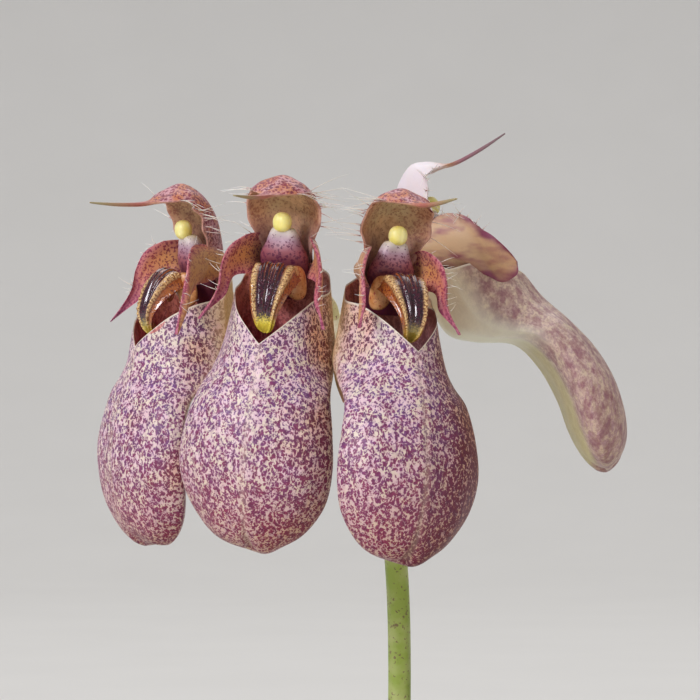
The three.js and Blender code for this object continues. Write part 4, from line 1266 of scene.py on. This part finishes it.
def make_collar(growth, number):
    """The torn remains of the dry scales round a bulb's foot, as a ring of uneven height."""
    share = np.concatenate([np.linspace(0, 1, 24), np.linspace(1, 0, 24)])[:, None]
    outer = np.concatenate([np.ones(24), np.zeros(24)])[:, None]
    angle = around(144)
    draws = np.random.default_rng(300 + number)
    edge = sum(draws.uniform(0.3, 1) / k * np.sin(k * angle + draws.uniform(0, 6))
               for k in (1, 2, 3, 5, 9, 17, 29))
    tall = growth["size"] * (5.5 + 1.7 * edge)
    level = share * tall
    part = level / (BULB_HEIGHT * growth["size"])
    belly = bulb_belly(np.clip(part, 0, 1))
    flare = 0.5 * share ** 3 * (1 + 0.6 * np.sin(7 * angle + number))
    radius = BULB_RADIUS * growth["size"] * belly * (1 + 0.06 * np.cos(5 * angle))
    radius = radius + 0.25 + 0.2 * outer + flare
    rings = upright_rings(*growth["at"], radius, angle, BULB_FOOT + 0.2 + level)
    return loft(f"bulb_scales_{number}", rings, {"along": share}, join_ends=True)


def leaf_line(growth, steps):
    """The middle line of a leaf at even steps, the way across it and the way out of its face."""
    heading = math.radians(growth["heading"])
    outward = np.array([math.cos(heading), math.sin(heading), 0])
    lean_start = math.radians(growth["lean"][0])
    share = np.linspace(0, 1, steps + 1)
    lean = np.radians(mix(growth["lean"][0], growth["lean"][1], share ** 0.8))
    along = outward * np.sin(lean)[:, None] + UP * np.cos(lean)[:, None]
    step = LEAF_LENGTH * growth["leaf"] / steps
    top = BULB_FOOT + BULB_HEIGHT * growth["size"] + GAP + PETIOLE_RADIUS * math.sin(lean_start)
    start = np.array([*growth["at"], top])
    line = start + np.concatenate([[[0, 0, 0]], np.cumsum(along[1:] * step, axis=0)])
    sideways = np.array([-math.sin(heading), math.cos(heading), 0])
    return line, sideways, -np.cross(sideways, along)


def make_leaf(growth, number):
    """Across the leaf: a fold like |over|, a wave at the edges, a pressed midrib and fine veins."""
    steps = 150
    over, face, share = two_faces(np.linspace(-1, 1, 61), np.linspace(0, 1, steps + 1))
    line, sideways, above = leaf_line(growth, steps)
    wide, thick = np.moveaxis(row_at(LEAF_OUTLINE, share + 0 * over), -1, 0)
    wide = LEAF_HALF_WIDTH * growth["leaf"] * wide
    wide = wide * np.sqrt(np.clip((1 - share) / 0.03, 0.03, 1))
    thinned = 0.35 + 0.65 * np.sqrt(np.maximum(1 - over ** 2, 0))
    thickness = np.maximum(LEAF_THICKNESS * thick, 0.7) * thinned
    blade = np.clip((share - 0.15) / 0.2, 0, 1)
    wave = 0.9 * blade * over ** 2 * np.sin(11 * share + 2 * np.sign(over) + growth["heading"])
    fold = 0.22 * (np.sqrt(over ** 2 + 0.004) - 0.063) * wide
    middle = bump(0, 0.05, over) * ease(0.12, 0.3, share) * ease(1.0, 0.85, share)
    veins = 0.05 * np.cos(over * 34) * blade * ease(1, 0.9, np.abs(over))
    lift = fold + wave + (0.5 - face) * thickness - 0.55 * middle + veins * (1 - 2 * face)
    rings = line[:, None] + sideways * (over * wide)[..., None] + above[:, None] * lift[..., None]
    marks = {"along": share, "across": over, "under": face, "middle": bump(0, 0.07, over)}
    return loft(f"leaf_blade_{number}", rings, marks)


# %% Bulb and leaf finishes: smooth wax, and grained leather
def bulb_material():
    """Smooth waxy green bulb, yellower on its ridges, tanned and scarred towards its foot."""
    material, tree = start_material("waxy pseudobulb skin")
    where = place(tree)
    patches = noise(tree, where, 14, 3)
    base = blend(tree, window(tree, patches, 0.35, 0.65), "#5f7a2e", "#7f9440")
    base = blend(tree, window(tree, mark(tree, "ridge"), -0.2, 1, 0, 0.5), base, "#a3a552")
    low = plus(tree, mark(tree, "along"), times(tree, patches, 0.4))
    base = blend(tree, window(tree, low, 0.55, 0.25), base, "#8a7442")
    specks = window(tree, noise(tree, where, 1.4, 2), 0.62, 0.68, 0, 0.7)
    color = blend(tree, specks, base, "#4c3a22")
    grain = noise(tree, place(tree, (1, 1, 0.12)), 1.2, 3)
    return finish_material(material, tree, color, window(tree, grain, 0.3, 0.7, 0.3, 0.45),
                           relief(tree, grain, 0.12, 0.6), Subsurface_Weight=0.06,
                           Subsurface_Radius=(0.5, 0.7, 0.2), Subsurface_Scale=0.0015)


def leaf_material():
    """Leathery leaf: deep green above with paler veins, lighter and duller beneath, with a red edge."""
    material, tree = start_material("leathery leaf")
    where = place(tree)
    patches = noise(tree, where, 35, 4)
    upper = blend(tree, window(tree, patches, 0.35, 0.65), "#2f5a24", "#456e2c")
    veins = sine(tree, mark(tree, "across"), 68)
    upper = blend(tree, window(tree, veins, 0.4, 1.0, 0, 0.35), upper, "#5f8440")
    upper = blend(tree, window(tree, noise(tree, where, 1.4, 3), 0.5, 0.75, 0, 0.3), upper, "#24481f")
    upper = blend(tree, times(tree, mark(tree, "middle"), 0.45), upper, "#86a055")
    lower = blend(tree, window(tree, patches, 0.35, 0.65), "#68874a", "#7c9656")
    lower = blend(tree, times(tree, mark(tree, "middle"), 0.6), lower, "#a3b070")
    color = blend(tree, mark(tree, "under"), upper, lower)
    edge = window(tree, maths(tree, "ABSOLUTE", mark(tree, "across")), 0.965, 1.0, 0, 0.55)
    color = blend(tree, edge, color, "#7a3f35")
    foot = window(tree, mark(tree, "along"), 0.16, 0.02, 0, 0.7)
    color = blend(tree, foot, color, "#9aa35a")
    spots = window(tree, noise(tree, where, 3.8, 2), 0.7, 0.74, 0, 0.6)
    color = blend(tree, spots, color, "#5e4a26")
    grain = noise(tree, where, 1, 4)
    rough = window(tree, mark(tree, "under"), 0, 1, 0.102, 0.262)
    return finish_material(material, tree, color, rough, relief(tree, grain, 0.05, 0.5),
                           Subsurface_Weight=0.05, Subsurface_Radius=(0.4, 0.7, 0.2),
                           Subsurface_Scale=0.001)


bulb_skin, leaf_skin = bulb_material(), leaf_material()
scale_paper = paper_material("torn bulb scales", "#b99a6c", "#7f6040", "#5f452c")
for number, growth in enumerate(GROWTHS, 1):
    settle(make_bulb(growth, number), "pseudobulb", bulb_skin, f"pseudobulb_{number}")
    settle(make_collar(growth, number), "sheath", scale_paper)
    settle(make_leaf(growth, number), "leaf", leaf_skin, f"leaf_{number}")

# %% [markdown]
# ## The rhizome and its roots
# A woody creeping stem joins the bulbs. It is ringed where scales once sat. White roots leave it and
# dive between the bark chips. Both are tubes, the roots with a wandering path.

# %% Rhizome and roots
RHIZOME_TRACK = [[-37, -13], [-29, -10], [-14.5, -4], [0.5, -6.5], [15.5, -4], [30, 3], [37, 9]]
RHIZOME_RADIUS = 2.1
RHIZOME_LEVEL = 59.8
SCALE_RINGS = 26
ROOTS, ROOT_RINGS, ROOT_SIDES = 17, 26, 10


def make_rhizome():
    """radius = r (0.9 + a saw that climbs along each scale + slow lumps), rounded at both ends."""
    share = np.linspace(0, 1, 500)
    path = np.column_stack([row_at(RHIZOME_TRACK, share), np.full(500, RHIZOME_LEVEL)])
    angle = around(40)
    step = (share * SCALE_RINGS) % 1
    scales = 0.16 * step ** 2 - 0.08 * bump(0, 0.08, step)
    skin = path[:, None] + 3 * np.stack([np.cos(angle), np.sin(angle), 0 * angle], -1)
    lumps = 0.05 * wander(skin, 3, 31)
    radius = RHIZOME_RADIUS * (0.9 + scales[:, None] + lumps)
    tip = np.sqrt(np.clip(np.minimum(share, 1 - share) / 0.015, 0.03, 1))
    return tube("creeping_rhizome", path, radius * tip[:, None], 40, {"along": step[:, None]})


def make_roots():
    """Each root leaves the rhizome sideways, wanders outwards and sinks into the bark."""
    draws = np.random.default_rng(77)
    points, faces = [], []
    for count, share in enumerate(np.linspace(0.06, 0.94, ROOTS)):
        start = np.array([*row_at(RHIZOME_TRACK, np.array(share)), RHIZOME_LEVEL + 0.6])
        heading = (1 if count % 2 else -1) * math.pi / 2 + draws.uniform(-0.6, 0.6)
        reach = draws.uniform(9, 17)
        along = np.linspace(0, 1, ROOT_RINGS)
        turn = heading + 0.5 * np.sin(5 * along + draws.uniform(0, 6))
        steps = np.stack([np.cos(turn), np.sin(turn), 0.25 - 1.1 * along], -1) * reach / ROOT_RINGS
        path = start + np.cumsum(steps, axis=0)
        _, side, front = frames(path)
        angle = around(ROOT_SIDES).T
        radius = (0.55 * (1 - 0.35 * along))[:, None, None]
        ring = path[:, None] + radius * (side[:, None] * np.cos(angle) + front[:, None] * np.sin(angle))
        points.append(ring.reshape(-1, 3))
        faces.append(loft_faces(ROOT_RINGS, ROOT_SIDES) + count * ROOT_RINGS * ROOT_SIDES)
    quads = np.concatenate(faces)
    points = np.concatenate(points)
    if volume(points, quads) < 0:
        quads = quads[:, ::-1]
    return mesh_object("roots", points, [quads])


# %% Rhizome and root finishes: rough wood, and a spongy cover
def rhizome_material():
    """Woody creeping stem under brown scale rings."""
    material, tree = start_material("scaly rhizome")
    where = place(tree)
    fibres = noise(tree, where, 1.2, 4, 0.6)
    color = blend(tree, window(tree, fibres, 0.3, 0.7), "#6b4a2c", "#b08a58")
    color = blend(tree, window(tree, mark(tree, "along"), 0.7, 1.0, 0, 0.7), color, "#4a3220")
    color = blend(tree, window(tree, noise(tree, where, 8.7, 2), 0.55, 0.7, 0, 0.5), color, "#7c8a4a")
    return finish_material(material, tree, color, 0.75, relief(tree, fibres, 0.15, 0.8))


def root_material():
    """Spongy root cover: silvery white, greener where it is damp."""
    material, tree = start_material("velamen root")
    where = place(tree)
    color = blend(tree, window(tree, noise(tree, where, 7.2, 3), 0.4, 0.65), "#cfc9ba", "#9a9c78")
    grain = noise(tree, where, 0.58, 3)
    return finish_material(material, tree, color, 0.8, relief(tree, grain, 0.06, 0.6))


settle(make_rhizome(), "rhizome", rhizome_material(), "rhizome")
settle(make_roots(), "rhizome", root_material())

# %% [markdown]
# ## The bark
# The pot holds chipped conifer bark. The filling below is one plug with an uneven top, and
# over it lie separate chips: each is a rough slab with its own length, breadth, thickness and turn.
# Every chip is the same small rounded box of points pushed about by a slow wave, so all are made at
# once as one array.

# %% Bark
POT_WALL_INSIDE = [[5, 32], [64.8, 46]]
BARK_LEVEL = 59
BARK_RELIEF = 2.2
CHIP_SPACING = 13
CHIPS = 430
GOLDEN_ANGLE = 2.39996


def inside_radius(height):
    """The pot's inner radius at a height."""
    (foot, narrow), (top, wide) = POT_WALL_INSIDE
    return mix(narrow, wide, (height - foot) / (top - foot))


def turns(axis, angles):
    """Turning matrices about one of the three axes, one for each angle."""
    first, second = (k for k in range(3) if k != axis)
    made = np.zeros((len(angles), 3, 3))
    made[:, axis, axis] = 1
    made[:, first, first] = made[:, second, second] = np.cos(angles)
    made[:, second, first] = np.sin(angles)
    made[:, first, second] = -np.sin(angles)
    return made


def bark_height(x, y):
    """The top of the filling: tilted facets on a staggered grid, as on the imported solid."""
    column = np.round(x / CHIP_SPACING)
    row = np.round(y / CHIP_SPACING + 0.5 * (column % 2))
    draw = np.modf(np.abs(np.sin(column * 12.9898 + row * 78.233) * 43758.5453))[0]
    turn = 2 * math.pi * draw
    tilt = 0.12 * (x * np.cos(turn) + y * np.sin(turn))
    return BARK_LEVEL + BARK_RELIEF * (draw - 0.5) + BARK_RELIEF * 0.4 * np.sin(tilt * 4)


def rhizome_distance(x, y):
    """How far points lie from the rhizome's line, seen from above."""
    track = row_at(RHIZOME_TRACK, np.linspace(0, 1, 80))
    gaps = np.hypot(x[..., None] - track[:, 0], y[..., None] - track[:, 1])
    return gaps.min(axis=-1)


def make_bark_bed():
    """Rings up the side and in across the top, closed at both ends."""
    angle = around(120)
    levels = np.array([5.3, 30, 56.0])[:, None]
    side = [(inside_radius(levels) - 0.6) + 0 * angle, levels + 0 * angle]
    shares = np.linspace(0.985, 0.02, 60)[:, None]
    reach = (inside_radius(57) - 0.6) * shares + 0 * angle
    x, y = reach * np.cos(angle), reach * np.sin(angle)
    top = np.minimum(bark_height(x, y) - 1.5, 57.5) + 0.5 * wander(np.stack([x, y, 0 * x], -1), 4, 3)
    radius, height = np.concatenate([side[0], reach]), np.concatenate([side[1], top])
    return loft("bark_bed", upright_rings(0, 0, radius, angle, height))


# %% Bark chips
def make_bark_chips():
    """Chips on a spiral of golden angles, moved a little at random, each a bent and broken slab."""
    draws = np.random.default_rng(5)
    count = CHIPS
    turn = np.arange(count) * GOLDEN_ANGLE + draws.uniform(-0.4, 0.4, count)
    reach = (inside_radius(58) - 4.2) * np.sqrt((np.arange(count) + 0.5) / count)
    x, y = reach * np.cos(turn), reach * np.sin(turn)
    long = draws.uniform(3.4, 7.2, count)
    broad = long * draws.uniform(0.42, 0.75, count)
    thick = draws.uniform(0.8, 1.7, count)
    near = rhizome_distance(x, y)
    level = bark_height(x, y) - 1.2 + draws.uniform(-0.9, 1.3, count) - 2.6 * bump(0, 4.5, near)
    steps = 4
    grid = np.linspace(-1, 1, steps)
    corners = np.stack(np.meshgrid(grid, grid, grid, indexing="ij"), -1).reshape(-1, 3)
    shell = np.abs(corners).max(axis=1) > 0.99
    numbers = np.cumsum(shell) - 1
    corners = corners[shell]
    index = numbers.reshape(steps, steps, steps)
    a, b = np.meshgrid(np.arange(steps - 1), np.arange(steps - 1), indexing="ij")
    faces = []
    for axis in range(3):
        for end in (0, steps - 1):
            plane = np.moveaxis(index, axis, 0)[end]
            quad = np.stack([plane[a, b], plane[a + 1, b], plane[a + 1, b + 1], plane[a, b + 1]], -1)
            quad = quad.reshape(-1, 4)
            faces.append(quad if (end == 0) == (axis == 1) else quad[:, ::-1])
    quads = np.concatenate(faces)
    rounded = corners * (1 - 0.16 * (np.linalg.norm(corners, axis=1, keepdims=True) - 1))
    local = rounded[None] * np.stack([long, broad, thick], -1)[:, None]
    noise_at = corners[None] * 1.3 + draws.uniform(-20, 20, (count, 1, 3))
    push = np.stack([wander(noise_at, 1.6, 90 + k) for k in range(3)], -1)
    local = local + push * [0.9, 0.9, 0.45]
    local[..., 2] += 0.05 * local[..., 0] ** 2 * draws.uniform(-1, 1, (count, 1)) * 0.5
    spin = draws.uniform(0, 6.3, count)
    tip, roll = draws.normal(0, 0.22, count), draws.normal(0, 0.25, count)
    turned = np.einsum("nij,njk,nkl,nvl->nvi", turns(2, spin), turns(1, -tip), turns(0, roll), local)
    points = turned + np.stack([x, y, level], -1)[:, None]
    reach = np.hypot(points[..., 0], points[..., 1])
    limit = inside_radius(points[..., 2]) - 0.3
    squeeze = np.minimum(1, limit / np.maximum(reach, 1e-6))
    points[..., :2] *= squeeze[..., None]
    quads = (quads[None] + (np.arange(count) * len(corners))[:, None, None]).reshape(-1, 4)
    shade = np.repeat(draws.uniform(0, 1, count), len(corners))
    piece = mesh_object("bark_chips", points.reshape(-1, 3), [quads], {"shade": shade})
    piece.data.set_sharp_from_angle(angle=math.radians(40))
    return piece


# %% Bark finish: rough cork, chipped, matt
def bark_material(name, marked):
    """Conifer bark: layered red-brown corky plates, paler and greyer where weathered."""
    material, tree = start_material(name)
    where = place(tree)
    layers = noise(tree, place(tree, (1, 1, 2.5)), 3.5, 5, 0.65, 0.4)
    pores = noise(tree, where, 1, 4, 0.6)
    color = ramp(tree, layers, (0.3, "#3f2718"), (0.5, "#6f4529"), (0.7, "#9a6b45"))
    if marked:
        shade = mark(tree, "shade")
        color = blend(tree, window(tree, shade, 0.6, 1.0, 0, 0.55), color, "#8d7760")
        color = blend(tree, window(tree, shade, 0.35, 0.0, 0, 0.6), color, "#3a2317")
    color = blend(tree, window(tree, pores, 0.52, 0.66, 0, 0.7), color, "#2b1a10")
    color = blend(tree, window(tree, noise(tree, where, 26, 2), 0.62, 0.72, 0, 0.35), color, "#5f6b34")
    normal = relief(tree, layers, 0.7, 0.8)
    return finish_material(material, tree, color, 0.88, relief(tree, pores, 0.2, 0.7, normal))


settle(make_bark_bed(), "bark", bark_material("damp bark plug", False), "bark")
settle(make_bark_chips(), "bark", bark_material("chipped conifer bark", True))

# %% [markdown]
# ## The pot
# A plain clay pot is thrown or pressed, so its form is one profile turned round an axis. The edges
# of the rim are softly rounded by the potter's sponge. Three drain holes go through the floor, cut
# by subtracting three cylinders. Raw terracotta is matt, with fine grit, faint turning lines and a
# pale bloom of salts where water has dried.

# %% Pot
POT_PROFILE = [
    [0, 0.0], [18, 0.0], [34.6, 0], [35.5, 0.25], [36.0, 0.9], [36.4, 3], [40, 23], [44.8, 48.2],
    [45.2, 49.0], [46.3, 49.35], [48.6, 49.6], [49.3, 50.2], [49.5, 51.4], [49.7, 57],
    [49.95, 63.6], [49.7, 64.9], [48.9, 65.7], [47.9, 65.95], [47.0, 65.85], [46.3, 65.3],
    [46.0, 64.6], [44, 56.2], [39, 34.9], [33.2, 9.6], [32.2, 5.6], [31.4, 5.1], [18, 5.0],
    [0, 5.0],
]
DRAIN_RADIUS, DRAIN_REACH = 3.5, 18


def make_pot():
    """The profile turned round the axis, with turning lines and a slow unevenness in its radius."""
    profile = np.array(POT_PROFILE)
    lengths = np.concatenate([[0], np.cumsum(np.linalg.norm(np.diff(profile, axis=0), axis=1))])
    fine = np.unique(np.concatenate([lengths, np.arange(0, lengths[-1], 1.6)]))
    radius = np.interp(fine, lengths, profile[:, 0])[1:-1, None]
    height = np.interp(fine, lengths, profile[:, 1])[1:-1, None]
    angle = around(256)
    lines = 0.05 * np.sin(2.1 * height + 0.4 * np.sin(angle)) * (radius > 36.2)
    swell = 0.12 * wander(upright_rings(0, 0, radius, angle, height), 30, 12) * (radius > 33)
    grown = np.minimum(radius + lines + swell, 49.99)
    return loft("clay_pot", upright_rings(0, 0, grown, angle, height), sharp=50)


def cut_drain_holes(pot):
    """Subtracts three upright cylinders from the floor and keeps the result as the mesh."""
    angle = around(48)
    height = np.array([-2.0, 9.0])[:, None]
    cutters = []
    for turn in np.radians([90, 210, 330]):
        x, y = DRAIN_REACH * math.cos(turn), DRAIN_REACH * math.sin(turn)
        cutters.append(loft("hole", upright_rings(x, y, DRAIN_RADIUS, angle, height)))
        cut = pot.modifiers.new("hole", "BOOLEAN")
        cut.operation = "DIFFERENCE"
        cut.solver = "EXACT"
        cut.object = cutters[-1]
    graph = bpy.context.evaluated_depsgraph_get()
    finished = bpy.data.meshes.new_from_object(pot.evaluated_get(graph))
    pot.modifiers.clear()
    pot.data = finished
    for cutter in cutters:
        bpy.data.objects.remove(cutter)
    return pot


# %% Pot finish: fired clay, matt, with grit and salts
def terracotta_material():
    """Fired clay: warm orange-brown body, grit specks, turning lines, salt bloom at rim and foot."""
    material, tree = start_material("fired terracotta, matt")
    where = place(tree)
    clouds = noise(tree, where, 41, 4)
    base = blend(tree, window(tree, clouds, 0.3, 0.7), "#b4623c", "#c47a50")
    height = node(tree, "SeparateXYZ", Vector=where).outputs["Z"]
    streaks = noise(tree, place(tree, (0.15, 0.15, 4)), 23, 3)
    base = blend(tree, window(tree, streaks, 0.4, 0.7, 0, 0.3), base, "#a85838")
    bloom = plus(tree, window(tree, height, 0.012, 0.0, 0, 0.7),
                 window(tree, height, 0.045, 0.062, 0, 0.5))
    bloom = times(tree, bloom, window(tree, noise(tree, where, 20, 5, 0.65), 0.42, 0.66))
    base = blend(tree, bloom, base, "#e2cdb8")
    grit = window(tree, noise(tree, where, 1, 2), 0.66, 0.7, 0, 0.5)
    color = blend(tree, grit, base, "#6f3a26")
    fine = noise(tree, where, 0.87, 5, 0.6)
    lines = noise(tree, place(tree, (0.02, 0.02, 1)), 2.3, 3)
    normal = relief(tree, lines, 0.12, 0.5)
    return finish_material(material, tree, color, window(tree, fine, 0.3, 0.7, 0.8, 0.95),
                           relief(tree, fine, 0.1, 0.6, normal))


settle(cut_drain_holes(make_pot()), "terracotta", terracotta_material(), "pot")
